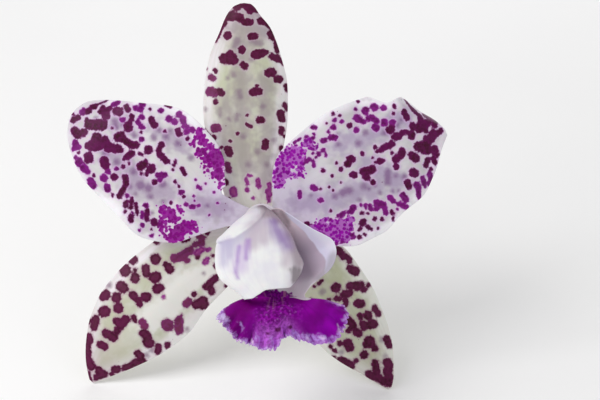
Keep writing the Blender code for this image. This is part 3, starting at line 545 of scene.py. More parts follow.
# Some of the lip's marks are painted light and shade: painted shade below the hood's crease, along its
# right flank, in its notch and at the right lobe's lower corner, painted light low in that lobe, painted
# glints on the frill, and tan and dark at the hood's top that are partly tint and partly painted shade.
LIP_MARKS = {
    "stripe": (
        (248, 241, 246, 258, 1.7), (240, 248, 238, 262, 1.2), (238, 262, 236.5, 273, 0.9),
        (236.5, 273, 238, 278, 0.4),
    ),
    "haze": ((263, 220, 262, 240, 4.5), (256, 227, 253, 244, 4), (287, 255, 285, 264, 0.2)),
    "veil": ((243, 250, 243, 268, 2.5),),
    "smear": ((273, 223, 276, 231, 2.4), (278, 232, 282, 240, 3.8), (284, 240, 287, 246, 2.2)),
    "tan_and_shade": (
        (264, 206, 268, 216, 3), (271, 213, 279, 221, 4.2), (283, 214, 289, 221, 2.2),
        (282, 222, 290, 236, 2.2),
    ),
    "tip": ((263, 206, 269, 208.5, 1.8),),
    "shade": ((223, 246, 224, 262, 3), (228, 244, 229, 256, 3)),
    "flank_shade": ((290, 236, 297, 250, 1.8), (297, 250, 300, 262, 2.6)),
    "notch": ((294, 270, 295, 280, 2.5), (299, 271, 297, 280, 2.5), (290.5, 270, 292, 273, 0.6)),
    "corner_shade": ((333, 258, 327, 272, 3.5), (320, 278, 326, 272, 2)),
    "painted_light": ((299, 287, 309, 284, 2.5),),
    "lilac": (
        (293, 333, 308, 339, 3.2), (308, 339, 322, 339, 3.4), (328, 340, 336, 337, 1.8),
        (341, 331, 345, 318, 1.6), (222, 315, 227, 321, 2.6), (217, 317, 2), (228, 325, 236, 335, 1.3),
        (241, 322, 243, 330, 0.7), (256, 336, 258, 345, 0.8), (270, 338, 272, 345, 0.8),
    ),
    "curl": ((216, 316, 225, 318, 2.4),),
    "glint": (
        (252, 340, 253, 343, 0.3), (321, 337, 324, 338, 0.5), (337, 325, 339, 330, 0.3),
        (307, 338, 309, 339, 0.2),
    ),
    "dot": ((278, 329, 2.2), (290, 327, 1.8), (268, 333, 1), (284, 333, 1.2)),
}

# The fold between the right side lobe's valley and its flange: x at each y, in pixels.
FOLD_LINE = (
    (205, 280), (215, 288), (225, 299), (237, 310), (250, 320), (264, 327), (275, 326), (290, 316),
)

# How near marks flow together, in mm, the depth where there are none, how softly one kind's
# colour passes into the next, and where each kind lies on the way from maroon to bright purple.
FLOW = 0.22
UNMARKED = -6.0
KIND_BLEND = 0.35
TINTS = {"maroon": 0.0, "rosy": 0.35, "magenta": 0.7, "patch": 1.0}

# How far apart, in pixels, two points of a sheet can be and still show at the same place.
SAME_PLACE = 1.0

# Spots that the picture doesn't show: behind other pieces and on the backs, where they keep
# off the margin, in mm, and off the base, as a share of the blade's length.
HIDDEN_SPACING = 4.6
HIDDEN_RADIUS = (0.5, 1.15)
BACK_SPACING = 5.2
BACK_RADIUS = (0.35, 0.9)
BACK_MARGIN = 1.2
BACK_BASE = 0.1
SPOT_TRIALS = 1500

# The finest specks: the size of their cells, in mm, the random red up to which a cell has one,
# how far a speck reaches in its cell, and its share.
SPECK_CELL = 3.1
SPECK_FILLED = (0.30, 0.31)
SPECK_SIZE = (0.075, 0.045)
SPECK_SHARE = 0.7


def along(points, x):
    """The smooth curve through (x, value) points, with no overshoot, at each x."""
    xs, ys = np.array(points, float).T
    rises = np.diff(ys) / np.diff(xs)
    before, after = rises[:-1], rises[1:]
    same_way = before * after > 0
    inner = np.where(same_way, 2 * before * after / np.where(same_way, before + after, 1.0), 0.0)
    slopes = np.concatenate(([rises[0]], inner, [rises[-1]]))
    x = np.clip(x, xs[0], xs[-1])
    i = np.clip(np.searchsorted(xs, x, side="right") - 1, 0, len(xs) - 2)
    span = xs[i + 1] - xs[i]
    f = (x - xs[i]) / span
    g = 1 - f
    return (
        ys[i] * g * g * (1 + 2 * f)
        + ys[i + 1] * f * f * (3 - 2 * f)
        + span * f * g * (g * slopes[i] - f * slopes[i + 1])
    )


def ease(low, high, x):
    """A smooth step of x, from 0 at low to 1 at high."""
    f = np.clip((x - low) / (high - low), 0.0, 1.0)
    return f * f * (3 - 2 * f)


def stack(x, y, z):
    return np.stack(np.broadcast_arrays(x, y, z), axis=-1)


def ripple(points, size, seed):
    """A smooth random height between about -1 and 1 at each point, with bumps of that size."""
    draws = np.random.default_rng(seed)
    height = np.zeros(points.shape[:-1])
    for _ in range(RIPPLE_WAVES):
        direction = draws.normal(size=3)
        direction *= math.tau / size * draws.uniform(*RIPPLE_PITCH) / np.linalg.norm(direction)
        height += np.sin(points @ direction + draws.uniform(0, math.tau))
    return height / math.sqrt(RIPPLE_WAVES)


def grid_faces(rows, columns, first=0):
    """Quads of a grid of (rows + 1) by (columns + 1) points, numbered row by row."""
    i, j = np.meshgrid(np.arange(rows), np.arange(columns), indexing="ij")
    a = (first + i * (columns + 1) + j).ravel()
    return np.stack((a, a + columns + 1, a + columns + 2, a + 1), axis=1)


def vertex_normals(points, faces):
    diagonal_a = points[faces[:, 2]] - points[faces[:, 0]]
    diagonal_b = points[faces[:, 3]] - points[faces[:, 1]]
    flat = np.cross(diagonal_a, diagonal_b)
    normals = np.zeros_like(points)
    for corner in range(4):
        np.add.at(normals, faces[:, corner], flat)
    return normals / np.maximum(np.linalg.norm(normals, axis=1, keepdims=True), 1e-12)


def facing_viewer(points, faces, first=0):
    """The faces, turned over if most of the points from the first on look away from the viewer."""
    return faces[:, ::-1] if vertex_normals(points, faces)[first:, 1].sum() > 0 else faces


def open_edges(faces):
    """The directed edges that only one face has."""
    starts = faces.ravel()
    ends = np.roll(faces, -1, axis=1).ravel()
    count = int(faces.max()) + 1
    lone = ~np.isin(starts * count + ends, ends * count + starts)
    return starts[lone], ends[lone]


def distance_to(points, targets):
    """The distance from each point to the nearest target."""
    tree = KDTree(len(targets))
    for i, target in enumerate(targets):
        tree.insert(target, i)
    tree.balance()
    return np.array([tree.find(point)[2] for point in points])


def new_piece(name, points, faces, values, material, slot):
    """A smooth mesh piece from points in the bloom's frame, riding on the bloom's body."""
    turned = points @ np.array(BLOOM.to_3x3()).T * MM + np.array(BLOOM.translation)
    mesh = bpy.data.meshes.new(name)
    mesh.from_pydata(turned.tolist(), [], faces.tolist())
    for label, value in values.items():
        layer = mesh.attributes.new(label, "FLOAT", "POINT")
        layer.data.foreach_set("value", np.ascontiguousarray(value, dtype=np.float32))
    mesh.materials.append(material)
    mesh.shade_smooth()
    mesh.update()
    obj = bpy.data.objects.new(name, mesh)
    bpy.context.scene.collection.objects.link(obj)
    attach(obj, "root")
    return obj


def shell(name, sheet, material, slot):
    """A closed leaf: the sheet's points moved out to both sides and joined round its edge."""
    points, faces = sheet["points"], sheet["faces"]
    thin = MARGIN_SHARE + (1 - MARGIN_SHARE) * (1 - np.exp(-sheet["margin"] / THINS_OVER))
    rounded = np.sqrt(np.clip(sheet["margin"] / ROUNDED_OVER, EDGE_SHARE, 1.0))
    half = vertex_normals(points, faces) * (sheet["thick"] / 2 * thin * rounded)[:, None]
    count = len(points)
    starts, ends = open_edges(faces)
    rim = np.stack((ends, starts, starts + count, ends + count), axis=1)
    both_points = np.concatenate((points + half, points - half))
    both_faces = np.concatenate((faces, faces[:, ::-1] + count, rim))
    values = {label: np.tile(value, 2) for label, value in sheet["values"].items()}
    values["side"] = np.repeat((1.0, -1.0), count)
    values["margin"] = np.tile(sheet["margin"], 2)
    return new_piece(name, both_points, both_faces, values, material, slot)


def pixels(points):
    """Where points of the bloom's frame, in mm, are seen in the picture, and how far away."""
    away = points - np.array(CAMERA_PLACE) / MM
    scale = CAMERA_LENS / SENSOR * PICTURE[0] / away[..., 1]
    x = PICTURE[0] / 2 + away[..., 0] * scale
    y = PICTURE[1] / 2 - away[..., 2] * scale
    return np.stack((x, y), axis=-1), away[..., 1]


def place_of(pixel, seen, depth, points):
    """The point of a sheet that shows at a pixel: of those seen close by, the nearest one."""
    off = np.hypot(seen[:, 0] - pixel[0], seen[:, 1] - pixel[1])
    close = np.flatnonzero(off < off.min() + SAME_PLACE)
    return points[close[np.argmin(depth[close] + off[close])]]


def stroke_field(points, start, end, radius):
    """How deep each point lies inside a stroke, in mm; outside it is negative."""
    line = end - start
    reach = np.clip((points - start) @ line / max(line @ line, 1e-9), 0.0, 1.0)
    return radius - np.linalg.norm(points - start - reach[:, None] * line, axis=1)


def placed(marks, seen, depth, points):
    """Each mark of the picture as (start, end, radius) on the sheet, in mm."""
    strokes = []
    for mark in marks:
        ends = [place_of(mark[k:k + 2], seen, depth, points) for k in range(0, len(mark) - 1, 2)]
        strokes.append((ends[0], ends[-1], mark[-1] * PIXEL_MM))
    return strokes


def field(points, strokes):
    """The strokes' joint depth at each point, with close neighbours flowing together."""
    total = np.full(len(points), math.exp(UNMARKED / FLOW))
    for start, end, radius in strokes:
        total += np.exp(np.clip(stroke_field(points, start, end, radius), UNMARKED, None) / FLOW)
    return FLOW * np.log(total)


def scatter(points, allowed, spacing, radii, seed):
    """Random round spots on the allowed points, no two of them closer than the spacing."""
    draws = np.random.default_rng(seed)
    candidates = draws.permutation(np.flatnonzero(allowed))[:SPOT_TRIALS]
    kept = []
    for index in candidates:
        if all(np.linalg.norm(points[index] - other[0]) > spacing for other in kept):
            kept.append((points[index], points[index], draws.uniform(*radii)))
    return kept


def picture_index(seen, dx=0, dy=0):
    """(row, column) of the pixels at those places, moved by a step and kept in the picture."""
    column = np.clip(np.round(seen[:, 0]).astype(int) + dx, 0, PICTURE[0] - 1)
    row = np.clip(np.round(seen[:, 1]).astype(int) + dy, 0, PICTURE[1] - 1)
    return row, column


def covered_by(seen, covers):
    """Which of the places seen lie behind the covering sheets."""
    mask = np.zeros((PICTURE[1], PICTURE[0]), bool)
    for cover in covers:
        spots, _ = pixels(cover["points"])
        for dx, dy in itertools.product((-1, 0, 1), repeat=2):
            mask[picture_index(spots, dx, dy)] = True
    return mask[picture_index(seen)]


def blade_surface(spec, t, w):
    """Points of a blade, as in the part: t from base to tip, w from its lower to upper margin."""
    tip = Vector((spec["tip"][0], 0.0, spec["tip"][1]))
    forward = np.array(tip / tip.length)
    side = np.array((-forward[2], 0.0, forward[0]))
    upper, lower = along(spec["upper"], t), along(spec["lower"], t)
    across = (upper + lower) / 2 + w * (upper - lower) / 2
    inside = (NECK_RADIUS + GAP) ** 2 - across**2
    seat = np.sqrt((inside + np.sqrt(inside**2 + SEAT_SOFTNESS**2)) / 2)
    reach = seat * (1 - t) + tip.length * t
    amplitude, count, phase = spec["wave"]
    margin = np.maximum(0.0, (np.abs(w) - WAVE_FROM) / (1 - WAVE_FROM)) ** 2
    turn = math.tau * count * t + math.radians(phase) + np.where(w > 0, UPPER_WAVE_LEAD, 0.0)
    depth = along(spec["rib"], t) + along(spec["cup"], t) * w * w
    depth = depth + amplitude * margin * ease(*WAVE_GROWS, t) * np.sin(turn)
    for where, width, edge, bend in spec["folds"]:
        turned_up = np.maximum(0.0, w * edge) ** FOLD_SHARPNESS
        depth = depth + bend * np.exp(-((t - where) / width) ** 2) * turned_up
    return forward * reach[..., None] + side * across[..., None] + stack(0.0, depth, 0.0)


def blade_relief(points, t, w, seed):
    """A groove down the midrib, soft swells, and small wavelets along the margins."""
    grown = ease(*RELIEF_GROWS, t)
    groove = RIB_GROOVE * np.exp(-(w * RIB_NARROWNESS) ** 2) * grown * ease(1.0, RIB_FADES, t)
    swells = SWELL_HEIGHT * ripple(points, SWELL_SIZE, seed) * grown
    wavelets = WAVELET_HEIGHT * ripple(points, WAVELET_SIZE, seed + 1) * grown * np.abs(w) ** 3
    return groove + swells + wavelets


def blade_sheet(spec, grid, seed):
    """A sepal's or petal's middle sheet: the part's own surface with finer relief."""
    rows, columns = grid
    u, v = np.meshgrid(np.linspace(0, 1, rows + 1), np.linspace(-1, 1, columns + 1), indexing="ij")
    t = 1 - (1 - u) ** TIP_CROWDING
    w = (1 - MARGIN_CROWDING) * v + MARGIN_CROWDING * np.sin(math.pi / 2 * v)
    points = blade_surface(spec, t, w).reshape(-1, 3)
    t, w = t.ravel(), w.ravel()
    points[:, 1] += blade_relief(points, t, w, seed)
    faces = facing_viewer(points, grid_faces(rows, columns))
    starts, _ = open_edges(faces)
    rim = starts[starts > columns]
    return {
        "points": points,
        "faces": faces,
        "thick": spec["thick"],
        "margin": distance_to(points, points[rim]),
        "values": {"t": t, "w": w},
    }


def mark_blade(sheet, marks, covers, seed):
    """Adds the fields that the blade's markings are coloured by."""
    points, values = sheet["points"], sheet["values"]
    seen, depth = pixels(points)
    hidden = covered_by(seen, covers)
    strokes = {kind: placed(marks.get(kind, ()), seen, depth, points) for kind in TINTS}
    strokes["maroon"] += scatter(points, hidden, HIDDEN_SPACING, HIDDEN_RADIUS, seed)
    depths = {kind: field(points, strokes[kind]) for kind in TINTS}
    spot = np.max(list(depths.values()), axis=0)
    weights = {kind: np.exp((depths[kind] - spot) / KIND_BLEND) for kind in TINTS}
    total = sum(weights.values())
    everywhere = (sheet["margin"] > BACK_MARGIN) & (values["t"] > BACK_BASE)
    back = scatter(points, everywhere, BACK_SPACING, BACK_RADIUS, seed + 1)
    values["spot"] = spot
    values["tint"] = sum(weights[kind] * TINTS[kind] for kind in TINTS) / total
    values["stipple"] = weights["patch"] / total
    values["back_spot"] = field(points, back)
    for kind in ("pale", "wash_and_shade"):
        values[kind] = field(points, placed(marks[kind], seen, depth, points))


def arch(s):
    """(place, forward, up) on the column's axis, s mm from the disc."""
    place = np.zeros(s.shape + (3,)) + np.array((0.0, DISC_FRONT - GAP, 0.0))
    step = s / ARC_STEPS
    for i in range(ARC_STEPS):
        slope = np.radians(along(COLUMN_SLOPE, (i + 0.5) * step / COLUMN_LENGTH))
        place += stack(COLUMN_DRIFT, -np.cos(slope), -np.sin(slope)) * step[..., None]
    slope = np.radians(along(COLUMN_SLOPE, s / COLUMN_LENGTH))
    return place, stack(0.0, -np.cos(slope), -np.sin(slope)), stack(0.0, -np.sin(slope), np.cos(slope))


def crease(s, angle):
    """How far the hood stands out at its crease, as a share of its size, and dips beyond it."""
    past = s - along(CREASE_LINE, angle)
    before = np.exp(np.minimum(past, 0.0) / CREASE_RISE)
    beyond = np.maximum(past, 0.0)
    valley = VALLEY_DEPTH * np.exp(-beyond / VALLEY_WIDTH) * (1 - np.exp(-beyond / CREASE_FALL))
    swell = CREASE_SHARE * np.where(past < 0, before, np.exp(-beyond / CREASE_FALL)) - valley
    return ease(*CREASE_STARTS, angle) * ease(*CREASE_ENDS, angle) * swell


def side_lobe_point(s, angle):
    """Points of the lip round the column. Angles are in degrees from the keel, left is negative."""
    place, _, up = arch(s)
    keel = along(KEEL, s)
    turn = np.radians(np.abs(angle))
    half_height = (along(HOOD_TOP, s) - keel) / 2
    out = 1 + crease(s, -angle)
    left_across = -along(LEFT_REACH, s) * np.sin(turn) * out
    left_height = keel + half_height - half_height * np.cos(turn) * out
    sweep = np.radians(along(RIGHT_SWEEP, s))
    right_across = along(RIGHT_REACH, s) / np.sin(np.minimum(sweep, math.pi / 2)) * np.sin(turn)
    right_height = keel + (along(RIGHT_MARGIN, s) - keel) * (1 - np.cos(turn)) / (1 - np.cos(sweep))
    across = np.where(angle < 0, left_across, right_across)
    height = np.where(angle < 0, left_height, right_height)
    return place + stack(across, 0.0, 0.0) + up * height[..., None]


def lip_angle(s, w):
    """The angle at share w of the way from the left edge to the right one, s mm from the disc."""
    left, right = -along(LEFT_SWEEP, s), along(RIGHT_SWEEP, s)
    even = left + (right - left) * w
    hood = left + (-ISTHMUS_SWEEP - left) * w / HOOD_SHARE
    rest = -ISTHMUS_SWEEP + (right + ISTHMUS_SWEEP) * (w - HOOD_SHARE) / (1 - HOOD_SHARE)
    crowded = np.where(w < HOOD_SHARE, hood, rest)
    return even + (crowded - even) * ease(0.0, CROWDED_FROM * ISTHMUS, s)


def tube_place(u, w):
    """(s, angle, point) of the lip's tube."""
    s = along(HOOD_FRONT, w) * (1 - (1 - u) ** FRONT_CROWDING)
    angle = lip_angle(s, w)
    return s, angle, side_lobe_point(s, angle)


def fan_edge(centre, turn, v, f):
    """The mid lobe's margin round its centre, with uneven teeth that grow towards f = 1."""
    changes = sum(size * np.sin(count * turn + phase) for size, count, phase in TOOTH_CHANGES)
    depth = TOOTH_DEPTH + changes
    drift = TOOTH_DRIFT * np.sin(TOOTH_DRIFTS * turn)
    teeth = depth * (np.abs(np.sin(TEETH * math.pi * v / 2 + drift)) - TOOTH_BASE)
    reach = along(FAN_REACH, np.degrees(turn)) + teeth * ease(TEETH_FROM, 1.0, f)
    down = np.array((0.0, -math.cos(FAN_SLOPE), -math.sin(FAN_SLOPE)))
    return centre + down * (reach * np.cos(turn))[..., None] - stack(reach * np.sin(turn), 0.0, 0.0)


def fan_height(turn, v, f):
    """How far the mid lobe stands out: its middle's rise, its wings' curl and its frill."""
    frill = FRILL_HEIGHT * ease(FRILL_FROM, 1.0, f) * np.sin(FRILL_WAVES * math.pi * v)
    fine_waves = np.sin(FINE_FRILL_TURNS * turn + FINE_FRILL_PHASE)
    fine_frill = FINE_FRILL_HEIGHT * ease(FINE_FRILL_FROM, 1.0, f) * fine_waves
    spread = WING_REST + (1 - WING_REST) * np.cos(2 * turn) ** 2
    wing = WING_RISE * np.sin(math.pi * f) ** 2 * spread
    rise = FAN_RISE * np.sin(math.pi * np.minimum(1.0, f / RISE_ENDS)) ** 2 * np.cos(turn)
    return rise + wing + frill + fine_frill - MARGIN_DROP * f * f


def mid_lobe_point(f, v):
    """Points of the mid lobe: f from the isthmus to its frilled margin, v from left to right."""
    root = tube_place(np.ones_like(f), HOOD_SHARE + (1 - HOOD_SHARE) * (v + 1) / 2)[2]
    centre = side_lobe_point(np.array([ISTHMUS]), np.array([0.0]))[0]
    turn = np.radians(-FAN_EDGE * v)
    front = np.array((0.0, -math.sin(FAN_SLOPE), math.cos(FAN_SLOPE)))
    edge = fan_edge(centre, turn, v, f)
    return root + (edge - root) * f[..., None] + front * fan_height(turn, v, f)[..., None]


def lip_sheet():
    """The tube round the column and the mid lobe, as one sheet of quads."""
    tube_rows, fan_rows, hood_gaps, fan_gaps = LIP_GRID
    shares = np.concatenate((
        HOOD_SHARE * np.arange(hood_gaps) / hood_gaps,
        HOOD_SHARE + (1 - HOOD_SHARE) * np.arange(fan_gaps + 1) / fan_gaps,
    ))
    u, w = np.meshgrid(np.linspace(0, 1, tube_rows + 1), shares, indexing="ij")
    s, angle, tube = tube_place(u, w)
    fan_shares = np.arange(1, fan_rows + 1) / fan_rows
    f, v = np.meshgrid(fan_shares, np.linspace(-1, 1, fan_gaps + 1), indexing="ij")
    points = np.concatenate((tube.reshape(-1, 3), mid_lobe_point(f, v).reshape(-1, 3)))
    seam_start = s.size - (fan_gaps + 1)
    faces = np.concatenate((
        grid_faces(tube_rows, hood_gaps + fan_gaps),
        grid_faces(fan_rows, fan_gaps, seam_start),
    ))
    faces = facing_viewer(points, faces, s.size)
    values = {
        "s": np.concatenate((s.ravel(), np.full(f.size, ISTHMUS))),
        "angle": np.concatenate((angle.ravel(), (FAN_EDGE * v).ravel())),
        "fan": np.concatenate((np.zeros(s.size), f.ravel())),
    }
    starts, _ = open_edges(faces)
    rim = starts[(values["s"][starts] > LIP_SEAT) | (values["fan"][starts] > 0)]
    margin = distance_to(points, points[rim])
    return {"points": points, "faces": faces, "thick": LIP_THICK, "margin": margin, "values": values}


def mark_lip(sheet):
    """Adds the fields that the lip is coloured by, two of them its fold and its crease."""
    points, values = sheet["points"], sheet["values"]
    seen, depth = pixels(points)
    for label, marks in LIP_MARKS.items():
        values[label] = field(points, placed(marks, seen, depth, points))
    values["fold"] = seen[:, 0] - along(FOLD_LINE, seen[:, 1])
    values["crease"] = values["s"] - along(CREASE_LINE, -values["angle"])


def tube_faces(rows, columns):
    """Quads between rings of points that close round."""
    i, j = np.meshgrid(np.arange(rows), np.arange(columns), indexing="ij")
    a = (i * columns + j).ravel()
    b = (i * columns + (j + 1) % columns).ravel()
    return np.stack((a, b, b + columns, a + columns), axis=1)


def loft(name, rings, values, material, slot):
    """A closed piece from rings of points, with both ends drawn to a middle point."""
    rows, columns, _ = rings.shape
    ends = np.stack((rings[0].mean(axis=0), rings[-1].mean(axis=0)))
    points = np.concatenate((rings.reshape(-1, 3), ends))
    faces = tube_faces(rows - 1, columns).tolist()
    last = (rows - 1) * columns
    for j in range(columns):
        k = (j + 1) % columns
        faces.append([j, rows * columns, k])
        faces.append([last + k, rows * columns + 1, last + j])
    values = {
        label: np.append(value.ravel(), (value[0, 0], value[-1, 0]))
        for label, value in values.items()
    }
    mesh_faces = np.empty(len(faces), object)
    mesh_faces[:] = faces
    piece = new_piece(name, points, mesh_faces, values, material, slot)
    bm = bmesh.new()
    bm.from_mesh(piece.data)
    bmesh.ops.recalc_face_normals(bm, faces=bm.faces)
    bm.to_mesh(piece.data)
    bm.free()
    return piece


def column_piece(material):
    """The column, with a pocket for the anther cap in its end."""
    rows, columns = COLUMN_GRID
    u, turn = np.meshgrid(np.linspace(0, 1, rows), np.arange(columns) / columns, indexing="ij")
    s = COLUMN_END * (1 - (1 - u) ** COLUMN_CROWDING)
    place, _, up = arch(s)
    angle = math.tau * turn
    height = np.where(np.sin(angle) > 0, along(COLUMN_TOP, s), -along(COLUMN_BOTTOM, s))
    across = along(COLUMN_HALF_WIDTH, s) * np.cos(angle) + COLUMN_ASIDE * s
    rings = place + stack(across, 0.0, 0.0) + up * (height * np.sin(angle))[..., None]
    piece = loft("column_wax", rings, {"s": s}, material, "column")
    pocket = ball_points(CAP_SIZE + Vector((GAP, GAP, GAP)))
    cut(piece, cutter("anther_pocket", pocket, material, "column"))
    return piece


def cap_frame():
    """The anther cap's own frame: X across, Y up from the axis, Z along the column."""
    s, lift = CAP_PLACE
    place, forward, up = (Vector(row[0]) for row in arch(np.array([s])))
    across = up.cross(forward)
    turned = Matrix((across, up, forward)).transposed().to_4x4()
    return Matrix.Translation(place + up * lift + across * (COLUMN_ASIDE * s)) @ turned


def in_cap_frame(points):
    turned = cap_frame()
    return points @ np.array(turned.to_3x3()).T + np.array(turned.translation)


def ball_points(sizes, grid=BALL_GRID):
    """Rings of points on a ball with those half sizes, from one pole to the other."""
    rows, columns = grid
    poles = np.linspace(BALL_POLE, 1 - BALL_POLE, rows)
    u, turn = np.meshgrid(poles, np.arange(columns) / columns, indexing="ij")
    angle = math.tau * turn
    tilt = math.pi * u
    return stack(
        np.sin(tilt) * np.cos(angle) * sizes[0],
        np.sin(tilt) * np.sin(angle) * sizes[1],
        np.cos(tilt) * sizes[2],
    )


def cutter(name, rings, material, slot):
    """A closed body in the anther cap's frame, to be cut out of a piece."""
    return loft(name, in_cap_frame(rings), {"s": np.zeros(rings.shape[:2])}, material, slot)


def cut(piece, tool):
    """Cuts the tool out of the piece and removes the tool."""
    made = piece.modifiers.new("Cut", "BOOLEAN")
    made.operation = "DIFFERENCE"
    made.object = tool
    bpy.context.view_layer.update()
    evaluated = piece.evaluated_get(bpy.context.evaluated_depsgraph_get())
    piece.data = bpy.data.meshes.new_from_object(evaluated)
    piece.modifiers.clear()
    bpy.data.objects.remove(tool, do_unlink=True)


def mouth_points():
    """A flat-sided block that opens the cap on the side towards the column."""
    rings = ball_points(Vector((MOUTH_BULGE, MOUTH_BULGE, CAP_SIZE.z)), MOUTH_GRID)
    rings[..., 2] -= CAP_OPEN + CAP_SIZE.z
    rings[..., :2] = np.clip(rings[..., :2], -MOUTH_HALF, MOUTH_HALF)
    return rings


def anther_cap_piece(material):
    """The thin cap, open towards the column, with a shallow furrow down its middle."""
    rings = ball_points(CAP_SIZE)
    middle = np.exp(-(rings[..., 0] / CAP_FURROW_WIDTH) ** 2)
    furrow = 1 - CAP_FURROW * middle * ease(*CAP_FURROW_GROWS, rings[..., 2])
    skin = in_cap_frame(rings * furrow[..., None])
    piece = loft("anther_cap_shell", skin, {"s": furrow}, material, "anther")
    hollow = ball_points(CAP_SIZE - Vector((CAP_WALL, CAP_WALL, CAP_WALL)))
    cut(piece, cutter("anther_hollow", hollow, material, "column"))
    cut(piece, cutter("anther_mouth", mouth_points(), material, "anther"))
    return piece


def pollinia_piece(material):
    """Four waxy pollen masses, pressed together side by side under the cap."""
    points = ball_points((1.0, 1.0, 1.0), POLLINIA_GRID)
    groove = 1 - POLLINIA_GROOVE * (1 + np.cos(POLLINIA * math.pi * points[..., 2])) / 2
    rings = stack(
        points[..., 2] * POLLINIA_SIZE.x,
        points[..., 1] * groove * POLLINIA_SIZE.y,
        points[..., 0] * groove * POLLINIA_SIZE.z + POLLINIA_DEPTH,
    )
    return loft("pollinia_masses", in_cap_frame(rings), {"s": groove}, material, "pollinia")


def stem_rings(q, turn):
    """Points of the ovary's and pedicel's skin: q along its path, turn round it."""
    a, b, c, d = (np.array(point) for point in STEM_PATH)
    g = 1 - q
    weights = (g**3, 3 * g * g * q, 3 * g * q * q, q**3)
    place = sum(weight[..., None] * point for weight, point in zip(weights, (a, b, c, d)))
    shares = (g * g, 2 * g * q, q * q)
    slopes = sum(share[..., None] * step for share, step in zip(shares, (b - a, c - b, d - c)))
    forward = slopes / np.linalg.norm(slopes, axis=-1, keepdims=True)
    across = np.cross(np.array((0.0, 0.0, 1.0)), forward)
    across /= np.linalg.norm(across, axis=-1, keepdims=True)
    up = np.cross(forward, across)
    angle = math.tau * turn
    radius = along(STEM_RADIUS, q) + along(STEM_RIDGE, q) * np.cos(STEM_RIDGES * angle)
    return place + across * (radius * np.cos(angle))[..., None] + up * (radius * np.sin(angle))[..., None]


def ovary_piece(material):
    """Disc and neck, ovary and pedicel, with a clean cut end."""
    rows, columns = STEM_GRID
    turn = np.arange(columns) / columns
    angle = math.tau * turn
    neck = [stack(-r * np.cos(angle), depth, r * np.sin(angle)) for depth, r in NECK]
    q, turns = np.meshgrid(np.linspace(STEM_START, 1, rows), turn, indexing="ij")
    skin = stem_rings(q, turns)
    middle = skin[-1].mean(axis=0)
    end = [middle + (skin[-1] - middle) * share for share in CUT_RINGS]
    rings = np.concatenate((np.stack(neck), skin, np.stack(end)))
    position = np.concatenate((np.zeros(len(neck)), q[:, 0], np.full(len(end), CUT_POSITION)))
    radial = np.concatenate((np.ones(len(neck) + rows), CUT_RINGS))
    values = {
        "q": np.repeat(position[:, None], columns, axis=1),
        "turn": np.repeat(np.cos(STEM_RIDGES * angle)[None, :], len(rings), axis=0),
        "radial": np.repeat(radial[:, None], columns, axis=1),
        "depth": rings[..., 1],
    }
    return loft("ovary_skin", rings, values, material, "pedicel")


def srgb(red, green, blue):
    """A colour given from 0 to 255 a channel, as Blender's linear one."""
    def linear(value):
        value /= 255.0
        return value / 12.92 if value <= 0.04045 else ((value + 0.055) / 1.055) ** 2.4

    return (linear(red), linear(green), linear(blue), 1.0)


class Value:
    """A number or a colour that a material's nodes work out. Numbers can be reckoned with."""

    def __init__(self, recipe, socket):
        self.recipe = recipe
        self.socket = socket

    def __add__(self, other):
        return self.recipe.math("ADD", self, other)

    def __sub__(self, other):
        return self.recipe.math("SUBTRACT", self, other)

    def __rsub__(self, other):
        return self.recipe.math("SUBTRACT", other, self)

    def __mul__(self, other):
        return self.recipe.math("MULTIPLY", self, other)


